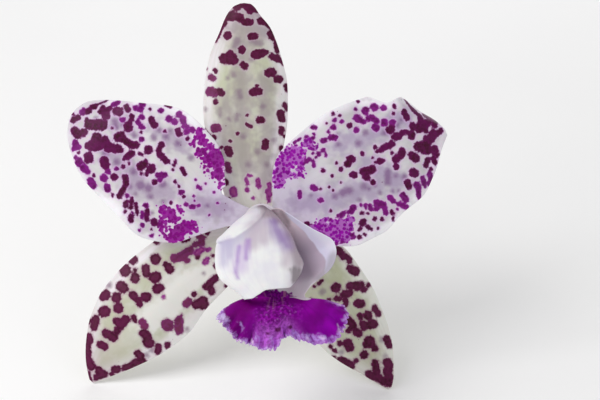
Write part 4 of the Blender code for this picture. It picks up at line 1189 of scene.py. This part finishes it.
class Recipe:
    """A material's node tree, with short ways to add what its colours are mixed from."""

    def __init__(self, name):
        self.material = bpy.data.materials.new(name)
        self.material.use_nodes = True
        self.tree = self.material.node_tree
        self.shader = self.tree.nodes["Principled BSDF"]
        self.place = self.millimetres()

    def put(self, socket, value):
        """Links a worked-out value to a socket, or sets it to a number or a given colour."""
        if isinstance(value, Value):
            self.tree.links.new(value.socket, socket)
        elif isinstance(value, tuple):
            socket.default_value = srgb(*value)
        else:
            socket.default_value = value

    def add(self, kind, inputs, output=0, **settings):
        """A new node's output, or several of them when their names are given."""
        made = self.tree.nodes.new(kind)
        for label, setting in settings.items():
            setattr(made, label, setting)
        for key, value in inputs.items():
            self.put(made.inputs[key], value)
        if isinstance(output, tuple):
            return tuple(Value(self, made.outputs[key]) for key in output)
        return Value(self, made.outputs[output])

    def attribute(self, name):
        return self.add("ShaderNodeAttribute", {}, "Fac", attribute_name=name)

    def attributes(self, *names):
        return tuple(self.attribute(name) for name in names)

    def millimetres(self):
        metres = self.add("ShaderNodeTexCoord", {}, "Object")
        return self.add("ShaderNodeVectorMath", {0: metres, "Scale": 1 / MM}, operation="SCALE")

    def math(self, operation, a, b=0.0):
        return self.add("ShaderNodeMath", {0: a, 1: b}, operation=operation)

    def fade(self, value, low, high, start=0.0, end=1.0):
        """A smooth step of value, from start at low to end at high."""
        inputs = {"Value": value, "From Min": low, "From Max": high, "To Min": start, "To Max": end}
        return self.add("ShaderNodeMapRange", inputs, "Result", interpolation_type="SMOOTHSTEP")

    def mix(self, share, a, b):
        return self.add("ShaderNodeMix", {0: share, 6: a, 7: b}, 2, data_type="RGBA")

    def over(self, colour, *layers):
        """A colour with layers over it, each as (value, low, high, share, its colour).

        A layer covers nothing where its value is low, and up to its share where it is high.
        """
        for value, low, high, share, layer in layers:
            colour = self.mix(self.fade(value, low, high, 0.0, share), colour, layer)
        return colour

    def noise(self, size, detail=2.0, vector=None):
        """Soft noise between 0 and 1 with bumps of that size, in mm unless a vector is given."""
        inputs = {"Vector": vector or self.place, "Scale": 1 / size, "Detail": detail}
        return self.add("ShaderNodeTexNoise", inputs, "Fac")

    def sway(self, noise, start, end):
        """Noise drawn out from start to end."""
        return self.fade(noise, *NOISE_BAND, start, end)

    def jitter(self, size, detail, amount):
        """Noise about zero."""
        return (self.noise(size, detail) - 0.5) * amount

    def cells(self, size):
        """(distance to the cell's middle, the cell's random colour)."""
        inputs = {"Vector": self.place, "Scale": 1 / size}
        return self.add("ShaderNodeTexVoronoi", inputs, ("Distance", "Color"))

    def rays(self, x, y, z=0.0, detail=3.0):
        """Noise over a vector of values, drawn out along the value that changes least."""
        vector = self.add("ShaderNodeCombineXYZ", {0: x, 1: y, 2: z})
        return self.noise(1.0, detail, vector)

    def bump(self, height, distance, strength, normal=None):
        """Relief from a height between 0 and 1, which stands for a distance in mm."""
        inputs = {"Height": height, "Distance": distance * MM, "Strength": strength}
        if normal is not None:
            inputs["Normal"] = normal
        return self.add("ShaderNodeBump", inputs)

    def finish(self, colour, roughness, normal, subsurface=0.0, coat=0.0, specular=SPECULAR):
        """The material, with its colour, roughness and relief, and its share of each other layer."""
        self.put(self.shader.inputs["Base Color"], colour)
        self.put(self.shader.inputs["Roughness"], roughness)
        self.put(self.shader.inputs["Normal"], normal)
        self.shader.inputs["Subsurface Weight"].default_value = subsurface
        self.shader.inputs["Subsurface Radius"].default_value = LIGHT_REACH
        self.shader.inputs["Subsurface Scale"].default_value = LIGHT_DEPTH
        self.shader.inputs["Coat Weight"].default_value = coat
        self.shader.inputs["Coat Roughness"].default_value = COAT_ROUGHNESS
        self.shader.inputs["Specular IOR Level"].default_value = specular
        return self.material


def ground_colour(r, look, lines):
    """White margins, a creamier middle, soft smudges, lengthwise veins, and tinted washes partly of
    painted shade.
    """
    t, margin, wash_and_shade = r.attributes("t", "margin", "wash_and_shade")
    cloud = r.sway(r.noise(9.0, 3.0), -0.35, 0.2)
    inner = r.fade(margin, *look["rim"]) + cloud
    blotches = r.sway(r.noise(2.2, 1.5), -1.4, 0.9)
    return r.over(
        r.mix(inner, look["margin"], look["centre"]),
        (t, look["base"][1], look["base"][0], 1, look["throat"]),
        (r.noise(4.5, 3), 0.5, 0.72, look["smudge_share"], look["smudge"]),
        (lines, 0.35, 0.7, 0.28, look["vein"]),
        (t, 0.7, 1, 0.45, look["tip_tone"]),
        # The wash, broad mauve or cream tints that in places are painted shade where the blade folds.
        (wash_and_shade + blotches, -3.4, 1.6, look["wash_and_shade_share"], look["wash_and_shade"]),
    )


def ink_colour(r, look, edge, lines):
    """A spot's colour: by its kind, deeper in its middle, and broken by veins and cells."""
    tint, stipple = r.attributes("tint", "stipple")
    gap, _ = r.cells(0.9)
    rim = r.over(
        look["maroon_rim"],
        (tint, 0.1, 0.7, 1, look["magenta_rim"]),
        (tint, 0.75, 1, 1, look["patch_rim"]),
    )
    heart = r.over(look["heart"], (tint, 0.4, 0.7, 1.0, look["magenta_heart"]))
    deep = r.over(
        look["maroon"],
        (tint, 0.05, 0.35, 1, look["rosy"]),
        (tint, 0.4, 0.7, 1, look["magenta"]),
        (tint, 0.75, 1, 1, look["patch"]),
        (edge, 0.35, 1, look["heart_share"], heart),
        (r.noise(6), 0.4, 0.65, 0.5, rim),
    )
    ink = r.over(
        rim,
        (edge, 0, 0.5, 1, deep),
        (lines, 0.42, 0.7, 0.3, look["maroon"]),
        (r.noise(0.8), 0.45, 0.65, 0.4, rim),
        (gap, 0.42, 0.75, look["cell_share"], rim),
    )
    netted = r.fade(gap, 0.46, 0.7) * r.fade(stipple, 0.3, 0.9, 0.0, look["net_share"])
    return r.mix(netted, ink, look["net"])


def spot_edge(r, look, ragged):
    """How deep a point lies in a spot, with ragged outlines, drops in the patches and swollen tips."""
    spot, stipple, t = r.attributes("spot", "stipple", "t")
    grains = r.jitter(0.5, 1.0, 0.35)
    distance, _ = r.cells(1.0)
    drops = look["drop"] - distance
    drops = r.math("MAXIMUM", drops * 2.4, drops * 0.8) * r.fade(stipple, 0.1, 0.9)
    return spot + r.fade(t, 0.5, 0.85, look["swell"], look["tip_swell"]) + ragged + grains + drops


def specks(r):
    """Where the finest specks lie: in some of many small cells, at their middles."""
    distance, colour = r.cells(SPECK_CELL)
    some = r.fade(r.add("ShaderNodeSeparateColor", {0: colour}), *SPECK_FILLED, 1.0, 0.0)
    return r.fade(distance, *SPECK_SIZE, 0.0, SPECK_SHARE) * some


def blade_material(name, look):
    """Waxy tissue with spots, their pink halos, specks, and the other face showing through."""
    r = Recipe(name)
    t, w, side, pale, back_spot = r.attributes("t", "w", "side", "pale", "back_spot")
    lines = r.rays(w * look["veins"], t * 4.0, side * 5.0)
    ragged = r.jitter(0.9, 1.0, look["ragged"])
    edge = spot_edge(r, look, ragged)
    ground = ground_colour(r, look, lines)
    face = r.over(
        ground,
        # Veiled spots seen through the tissue, in places painted shade where the blade folds.
        (pale + ragged, -0.8, 0.7, look["pale_share"], look["pale"]),
        (edge, -0.6, 0.05, look["halo_share"], look["halo"]),
    )
    face = r.mix(specks(r), face, look["maroon_rim"])
    face = r.over(face, (edge, -0.18, 0.16, 1.0, ink_colour(r, look, edge, lines)))
    behind = r.over(
        r.mix(0.45, ground, look["back"]),
        (edge, -0.7, 0.6, 0.42, look["through"]),
        (back_spot + ragged, -0.1, 0.12, 0.85, look["through_dark"]),
    )
    colour = r.over(behind, (side, *FRONT, 1.0, face))
    satin = r.sway(lines, look["rough"] - 0.05, look["rough"] + 0.06)
    relief = r.bump(r.noise(0.28), 0.04, 0.5, r.bump(lines, 0.12, 0.6))
    return r.finish(colour, satin, relief, subsurface=0.2, coat=0.02)


# The blades' looks. A spot has a colour of its own at its rim, in its heart and in the halo round
# it. "rim" alone is how far in from the margin, in mm, the centre's colour takes over, and "base"
# is where along the blade the throat's gives way. Spots swell by so many mm, more at the tip, and
# drop and net are how a patch breaks up.
SEPAL_LOOK = {
    "veins": 9.0, "rim": (1.0, 6.0), "base": (0.10, 0.32), "rough": 0.46, "ragged": 0.8,
    "swell": 0.12, "tip_swell": 0.22, "heart_share": 0.55, "drop": 0.64, "net_share": 0.2,
    "cell_share": 0.4, "halo_share": 0.55, "pale_share": 0.7, "smudge_share": 0.3,
    "margin": (237, 234, 238), "throat": (216, 212, 210), "smudge": (226, 224, 222),
    "tip_tone": (184, 164, 170), "maroon": (70, 3, 38), "rosy": (120, 44, 84),
    "magenta": (124, 18, 110), "patch": (134, 24, 126), "maroon_rim": (104, 22, 74),
    "magenta_rim": (160, 70, 150), "patch_rim": (160, 70, 150), "heart": (86, 24, 56),
    "magenta_heart": (200, 96, 164), "net": (190, 130, 190), "halo": (206, 178, 200),
    "pale": (140, 116, 136), "back": (212, 220, 184), "through": (158, 122, 138),
    "through_dark": (112, 40, 74),
}
DORSAL_LOOK = {
    **SEPAL_LOOK, "centre": (200, 203, 178), "vein": (188, 188, 168), "wash_and_shade": (154, 138, 148),
    "wash_and_shade_share": 0.6,
}
LATERAL_LOOK = {**SEPAL_LOOK, "swell": 0.18, "halo_share": 0.7}
LATERAL_LEFT_LOOK = {
    **LATERAL_LOOK, "centre": (198, 200, 177), "vein": (192, 192, 172), "smudge_share": 0.4,
    "wash_and_shade": (234, 234, 230), "wash_and_shade_share": 0.9, "maroon": (60, 0, 30), "heart": (112, 42, 78),
    "pale": (124, 88, 120), "tip_swell": 0.28, "halo": (184, 150, 168),
}
LATERAL_RIGHT_LOOK = {
    **LATERAL_LOOK, "margin": (234, 236, 228), "centre": (192, 197, 164), "vein": (180, 184, 156),
    "wash_and_shade": (232, 234, 226), "wash_and_shade_share": 0.8, "maroon": (62, 0, 32), "tip_swell": 0.26,
    "halo": (176, 144, 160),
}
PETAL_LOOK = {
    "veins": 13.0, "rim": (0.4, 3.6), "base": (0.16, 0.42), "rough": 0.44, "ragged": 0.75,
    "swell": 0.12, "tip_swell": 0.24, "heart_share": 0.2, "cell_share": 0.3, "halo_share": 0.6,
    "pale_share": 0.7, "smudge_share": 0.65, "margin": (243, 241, 247), "throat": (214, 206, 224),
    "vein": (206, 199, 211), "tip_tone": (194, 186, 196), "maroon": (68, 0, 40),
    "rosy": (98, 4, 78), "magenta": (98, 0, 88), "maroon_rim": (108, 8, 90),
    "magenta_rim": (142, 30, 142), "heart": (68, 0, 40), "magenta_heart": (98, 0, 88),
    "halo": (222, 176, 230), "pale": (124, 78, 132), "back": (224, 224, 220),
    "through": (174, 136, 170), "through_dark": (120, 36, 100),
}
PETAL_LEFT_LOOK = {
    **PETAL_LOOK, "centre": (218, 217, 216), "smudge": (198, 192, 198), "wash_and_shade": (158, 130, 170),
    "wash_and_shade_share": 0.62, "drop": 0.67, "net_share": 0.08, "patch": (134, 0, 130),
    "patch_rim": (160, 0, 160), "net": (206, 140, 216),
}
PETAL_RIGHT_LOOK = {
    **PETAL_LOOK, "centre": (206, 204, 206), "smudge": (188, 182, 190), "wash_and_shade": (166, 144, 182),
    "wash_and_shade_share": 0.68, "drop": 0.64, "net_share": 0.36, "patch": (136, 0, 150),
    "patch_rim": (166, 14, 180), "net": (220, 160, 232),
}

# The marks on the side lobes, in the order in which they are laid over the white: the depths, in
# mm, between which each grows, its greatest share, and its colour. The grey-lilac below the
# crease, the grey along the hood's right flank, the dark in its notch and the grey at the right
# lobe's lower corner are painted shade, the pale patch low in that lobe is painted light, and the
# tan over the column and the dark at the hood's top are partly tint and partly painted shade.
SIDE_LOBE_LAYERS = {
    "shade": (-1.8, 0.8, 0.65, (188, 180, 212)),
    "haze": (-2.6, 0.8, 0.75, (196, 182, 196)),
    "veil": (-2.6, 0.8, 0.6, (206, 186, 224)),
    "tan_and_shade": (-1.8, 0.8, 0.92, (162, 146, 155)),
    "tip": (-2.4, 0.6, 0.8, (126, 110, 122)),
    "flank_shade": (-2.4, 0.5, 0.8, (160, 147, 156)),
    "notch": (-0.9, 0.6, 0.9, (136, 128, 134)),
    "corner_shade": (-2.0, 0.6, 0.65, (160, 156, 166)),
    "painted_light": (-2.0, 0.6, 0.8, (232, 226, 234)),
    "smear": (-2.6, 1.2, 0.85, (148, 118, 178)),
    "stripe": (-1.0, 0.6, 0.75, (174, 138, 204)),
}


def open_lobe_colour(r, s, fold, cloud):
    """Inside the open right lobe: a mauve valley, and beyond its fold a pale flange."""
    # The valley's mauve is its own tint; its lighter top and bottom are painted light against the hood's
    # shadow.
    valley = r.over(
        (226, 208, 218),
        (s, 6, 14, 1, (184, 168, 186)),
        (s, 20, 26, 1, (214, 202, 214)),
    )
    wavy_fold = fold + r.sway(cloud, -1.2, 1.2)
    return r.over(
        valley,
        (wavy_fold, -1.6, 0.8, 1, (214, 210, 232)),
        (fold, 4, 14, 0.6, (228, 226, 238)),
    )


def side_lobe_colour(r, lines):
    """White with lilac strokes, tan over the column, painted shade and light in places, and mauve
    inside the open right lobe.
    """
    s, angle, fold, past_crease = r.attributes("s", "angle", "fold", "crease")
    cloud = r.noise(5.0)
    # Painted shade in a band just beyond the crease on the hood, fading over some 6 mm.
    dip = r.fade(past_crease, -0.1, 0.35) * r.fade(past_crease, 6.5, 0.4)
    dip = dip * r.fade(angle, -108.0, -122.0, 0.0, 0.7)
    facet = r.fade(past_crease, 0.2, -1.0) * r.fade(angle, -140.0, -165.0, 0.0, 0.6)
    white = r.over(
        (243, 243, 243),
        (cloud, 0.35, 0.7, 1, (235, 233, 240)),
        (lines, 0.4, 0.7, 0.14, (214, 208, 222)),
        (angle, 4, 24, 1, open_lobe_colour(r, s, fold, cloud)),
        # Greyer near the disc, at the hood's top: partly tint and partly painted shade.
        (s, 8, 1, 0.6, (190, 178, 184)),
    )
    white = r.mix(dip, white, (188, 180, 208))
    white = r.mix(facet, white, (214, 210, 224))
    # Painted shade along the hood's free margin.
    white = r.over(white, (angle, -186.0, -208.0, 0.8, (186, 174, 190)))
    for label, layer in SIDE_LOBE_LAYERS.items():
        wavy = r.attribute(label) + r.sway(lines, -0.15, 0.25)
        white = r.over(white, (wavy, *layer))
    return white


def wing_colour(r, angle, fan, cloud):
    """The mid lobe's velvety wings, deeper to the left and near the isthmus, with fine rays."""
    return r.over(
        (150, 0, 172),
        (cloud, 0.35, 0.65, 1, (124, 0, 136)),
        (angle, -28, -60, 0.85, (108, 0, 104)),
        (fan, 0.7, 0.15, 0.4, (116, 0, 108)),
        (r.rays(angle * 0.22, fan * 3), 0.48, 0.68, 0.4, (112, 0, 124)),
    )


def middle_colour(r, angle, fan, cloud, grain):
    """The wings with the granular middle between them, its creamy streaks, its lilac foot, and
    painted light on its root under the hood.
    """
    sideways = r.math("ABSOLUTE", angle)
    middle = r.fade(sideways + r.sway(cloud, -12.0, 12.0), 46.0, 18.0)
    granular = r.over((92, 0, 100), (grain, 0.40, 0.62, 1.0, (144, 18, 156)))
    dots, _ = r.cells(1.2)
    cream = r.fade(r.rays(angle * 0.13, fan, detail=2.0), 0.5, 0.66, 0.0, 0.6)
    top = r.fade(fan, 0.42, 0.02) * r.fade(sideways, 30.0, 10.0)
    # Painted light: on the left, the root in the hood's shade is lightened to a brighter purple.
    painted_root_light = r.fade(fan, 0.22, 0.0, 0.0, 0.8) * r.fade(angle, -10.0, -36.0)
    foot = r.fade(fan, 0.45, 0.8, 0.0, 0.85) * r.fade(sideways, 38.0, 14.0)
    purple = r.mix(middle * 0.85, wing_colour(r, angle, fan, cloud), granular)
    purple = r.mix(r.fade(dots, 0.34, 0.16, 0.0, 0.3) * middle, purple, (184, 104, 200))
    purple = r.mix(top * cream, purple, (190, 124, 152))
    purple = r.mix(painted_root_light, purple, (196, 24, 196))
    purple = r.mix(foot * r.fade(grain, 0.4, 0.6, 0.55, 1.0), purple, (204, 110, 228))
    return r.over(purple, (r.attribute("dot"), -0.5, 0.2, 0.85, (70, 0, 46)))


def mid_lobe_colour(r):
    """Velvety purple wings, a granular middle with creamy streaks, and a pale frilled rim with
    painted glints.
    """
    angle, fan, margin = r.attributes("angle", "fan", "margin")
    lilac, curl, glint = r.attributes("lilac", "curl", "glint")
    cloud, grain = r.noise(5.0), r.noise(0.8, 3.0)
    ragged = r.jitter(1.0, 2.0, 2.4)
    rim = r.fade(margin + ragged, 1.1, 0.1, 0.0, 0.8) * r.fade(fan, 0.4, 0.85)
    lilac = r.fade(lilac + ragged, -0.8, 0.5, 0.0, 0.92) * r.fade(grain, 0.36, 0.56, 0.45, 1.0)
    # Painted highlights: near-white flecks along the frill, like the glint marks below.
    rim_glints = r.fade(grain, 0.5, 0.62) * r.fade(margin, 0.7, 0.2) * r.fade(fan, 0.6, 0.9, 0.0, 0.8)
    purple = middle_colour(r, angle, fan, cloud, grain)
    purple = r.mix(r.math("MAXIMUM", rim, lilac), purple, (190, 148, 226))
    purple = r.over(
        purple,
        (curl + ragged, -0.8, 1.2, 0.85, (208, 200, 234)),
        (glint + ragged * 0.5, -0.7, 0.4, 0.75, (236, 220, 246)),
    )
    purple = r.mix(rim_glints, purple, (232, 214, 242))
    return r.over(purple, (margin, 0.14, 0.02, 0.4, (120, 50, 150)))


def lip_material():
    """White side lobes and a purple mid lobe, whose purple reaches a little way into the tube."""
    r = Recipe("lip_tissue")
    s, angle, fan, side = r.attributes("s", "angle", "fan", "side")
    lines = r.rays(angle * 0.16, s * 0.08)
    inner = r.fade(side, *FRONT)
    bow = angle * angle * PURPLE_BOW + r.math("MAXIMUM", angle, 0.0) * PURPLE_SLANT
    into_tube = s - PURPLE_START - bow + r.sway(r.noise(1.2), -0.4, 0.4)
    on_floor = r.fade(into_tube, -0.2, 0.4) * inner
    root = r.fade(angle, 40.0, 80.0, 0.0, 0.13)
    on_fan = r.math("MAXIMUM", r.fade(fan - root, 0.0, 0.04), on_floor)
    white, purple = side_lobe_colour(r, lines), mid_lobe_colour(r)
    pale_back = r.mix(0.4, purple, (196, 160, 214))
    colour = r.mix(on_fan, white, r.mix(inner, pale_back, purple))
    nap = r.fade(on_fan, 0.0, 1.0, 0.15, 0.8)
    velvet = r.bump(r.noise(0.5), 0.08, nap, r.bump(lines, 0.08, 0.4))
    rough = r.fade(on_fan, 0.0, 1.0, 0.45, 0.5)
    return r.finish(colour, rough, velvet, subsurface=0.2, specular=LIP_SPECULAR)


# The waxy pieces inside the flower. A cloud and a grain are (size in mm, detail), and a blush is
# (where it starts, where it is full, its share, its colour), by the piece's own field s.
COLUMN_WAX = {
    "cloud": (2.6, 3.0), "grain": (0.5, 2.0), "light": (238, 234, 238), "dark": (222, 206, 226),
    "blush": (17.0, 24.0, 0.6, (206, 160, 206)), "rough": (0.3, 0.42), "bump": (0.04, 0.4),
    "subsurface": 0.3, "coat": 0.2,
}
CAP_WAX = {
    "cloud": (0.8, 3.0), "grain": (0.8, 3.0), "light": (244, 238, 224), "dark": (228, 214, 202),
    "blush": (0.96, 0.9, 0.6, (206, 172, 190)), "rough": (0.3, 0.44), "bump": (0.04, 0.5),
    "subsurface": 0.3, "coat": 0.15,
}
POLLEN_WAX = {
    "cloud": (0.22, 3.0), "grain": (0.22, 3.0), "light": (244, 206, 84), "dark": (222, 170, 44),
    "rough": (0.28, 0.4), "bump": (0.03, 0.6), "subsurface": 0.25, "coat": 0.25,
}


def wax_material(name, wax):
    """Clouded wax, with a blush at one end or in a furrow where the piece has one."""
    r = Recipe(name)
    cloud, grain = r.noise(*wax["cloud"]), r.noise(*wax["grain"])
    colour = r.over(wax["light"], (cloud, 0.35, 0.7, 1.0, wax["dark"]))
    if "blush" in wax:
        colour = r.over(colour, (r.attribute("s"), *wax["blush"]))
    rough = r.sway(cloud, *wax["rough"])
    return r.finish(colour, rough, r.bump(grain, *wax["bump"]), wax["subsurface"], wax["coat"])


def stem_material():
    """Green ribs with paler furrows, a white neck, and a pale cut end with its ring."""
    r = Recipe("pedicel_tissue")
    q, turn, radial, depth = r.attributes("q", "turn", "radial", "depth")
    cloud = r.noise(3.0, 3.0)
    flecks, _ = r.cells(1.3)
    green = r.over(
        (150, 164, 96),
        (cloud, 0.35, 0.7, 1, (124, 144, 76)),
        (turn, -0.2, -1, 0.45, (186, 194, 140)),
        (q, 0.62, 0.98, 0.5, (132, 116, 84)),
        (flecks, 0.22, 0.1, 0.35, (112, 70, 74)),
    )
    neck = r.over((206, 210, 176), (depth, -1.5, -2.2, 1.0, (222, 214, 224)))
    pith = r.over((216, 218, 176), (radial, 0.5, 0.8, 1.0, (172, 180, 120)))
    colour = r.over(neck, (q, 0.0, 0.16, 1.0, green), (q, 1.005, 1.015, 1.0, pith))
    ribs = r.bump(r.rays(turn * 2.5, q * 7.0), 0.15, 0.5)
    relief = r.bump(cloud, 0.08, 0.5, ribs)
    return r.finish(colour, r.sway(cloud, 0.4, 0.54), relief, subsurface=0.12, coat=0.08)


def floor_material():
    r = Recipe("floor_paper")
    colour = r.mix(r.noise(60.0, 3.0), (254, 254, 254), (251, 251, 252))
    return r.finish(colour, 0.8, r.bump(r.noise(1.0), 0.05, 0.3))


def floor():
    bpy.ops.mesh.primitive_plane_add(size=FLOOR_SIZE, location=(0.0, 0.0, 0.0))
    made = bpy.context.object
    made.name = "floor"
    made.data.materials.append(floor_material())


def area_light(name, place, size, energy, colour):
    """A soft square light that looks at the bloom. Its place is in metres in the bloom's frame."""
    lamp = bpy.data.lights.new(name, "AREA")
    lamp.size = size
    lamp.energy = energy
    lamp.color = colour
    made = bpy.data.objects.new(name, lamp)
    bpy.context.scene.collection.objects.link(made)
    start = BLOOM @ Vector(place)
    made.location = start
    made.rotation_euler = (RECEPTACLE - start).to_track_quat("-Z", "Y").to_euler()


def lights():
    for name, light in LIGHTS.items():
        area_light(name, *light)
    world = bpy.data.worlds.new("studio")
    world.use_nodes = True
    background = world.node_tree.nodes["Background"]
    background.inputs["Color"].default_value = (1.0, 1.0, 1.0, 1.0)
    background.inputs["Strength"].default_value = SKY_STRENGTH
    bpy.context.scene.world = world


def camera():
    lens = bpy.data.cameras.new("camera")
    lens.lens = CAMERA_LENS
    lens.sensor_width = SENSOR
    lens.clip_start = MM
    made = bpy.data.objects.new("camera", lens)
    bpy.context.scene.collection.objects.link(made)
    made.matrix_world = BLOOM @ Matrix.Translation(CAMERA_PLACE) @ Matrix.Rotation(math.pi / 2, 4, "X")
    bpy.context.scene.camera = made


# Each blade's node, slot, form, marks and look, and how far its seed is from the scene's.
BLADES = (
    ("dorsal_sepal", "sepal", DORSAL_SEPAL, DORSAL_MARKS, DORSAL_LOOK, 20),
    ("lateral_sepal_left", "sepal", LATERAL_SEPAL_LEFT, LATERAL_LEFT_MARKS, LATERAL_LEFT_LOOK, 30),
    ("lateral_sepal_right", "sepal", LATERAL_SEPAL_RIGHT, LATERAL_RIGHT_MARKS, LATERAL_RIGHT_LOOK, 40),
    ("petal_left", "petal", PETAL_LEFT, PETAL_LEFT_MARKS, PETAL_LEFT_LOOK, 0),
    ("petal_right", "petal", PETAL_RIGHT, PETAL_RIGHT_MARKS, PETAL_RIGHT_LOOK, 10),
)


def blades(lip):
    """The sepals and petals. The petals and the lip hide parts of the sepals, the lip of both."""
    sheets = {
        node: blade_sheet(spec, GRIDS[slot], SEED + step)
        for node, slot, spec, _, _, step in BLADES
    }
    covers = {"sepal": (sheets["petal_left"], sheets["petal_right"], lip), "petal": (lip,)}
    for node, slot, _, marks, look, step in BLADES:
        mark_blade(sheets[node], marks, covers[slot], SEED + step + 1)
        tissue = blade_material(node.replace("_sepal", "") + "_tissue", look)
        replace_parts(shell(node + "_blade", sheets[node], tissue, slot), node)


def bloom():
    lip = lip_sheet()
    blades(lip)
    mark_lip(lip)
    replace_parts(shell("lip_blade", lip, lip_material(), "lip"), "lip")
    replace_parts(column_piece(wax_material("column_tissue", COLUMN_WAX)), "column")
    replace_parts(anther_cap_piece(wax_material("anther_tissue", CAP_WAX)), "anther_cap")
    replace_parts(pollinia_piece(wax_material("pollinia_wax", POLLEN_WAX)), "pollinia")
    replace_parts(ovary_piece(stem_material()), "ovary_and_pedicel")


bloom()
floor()
lights()
camera()
bpy.context.scene.view_settings.view_transform = "Standard"
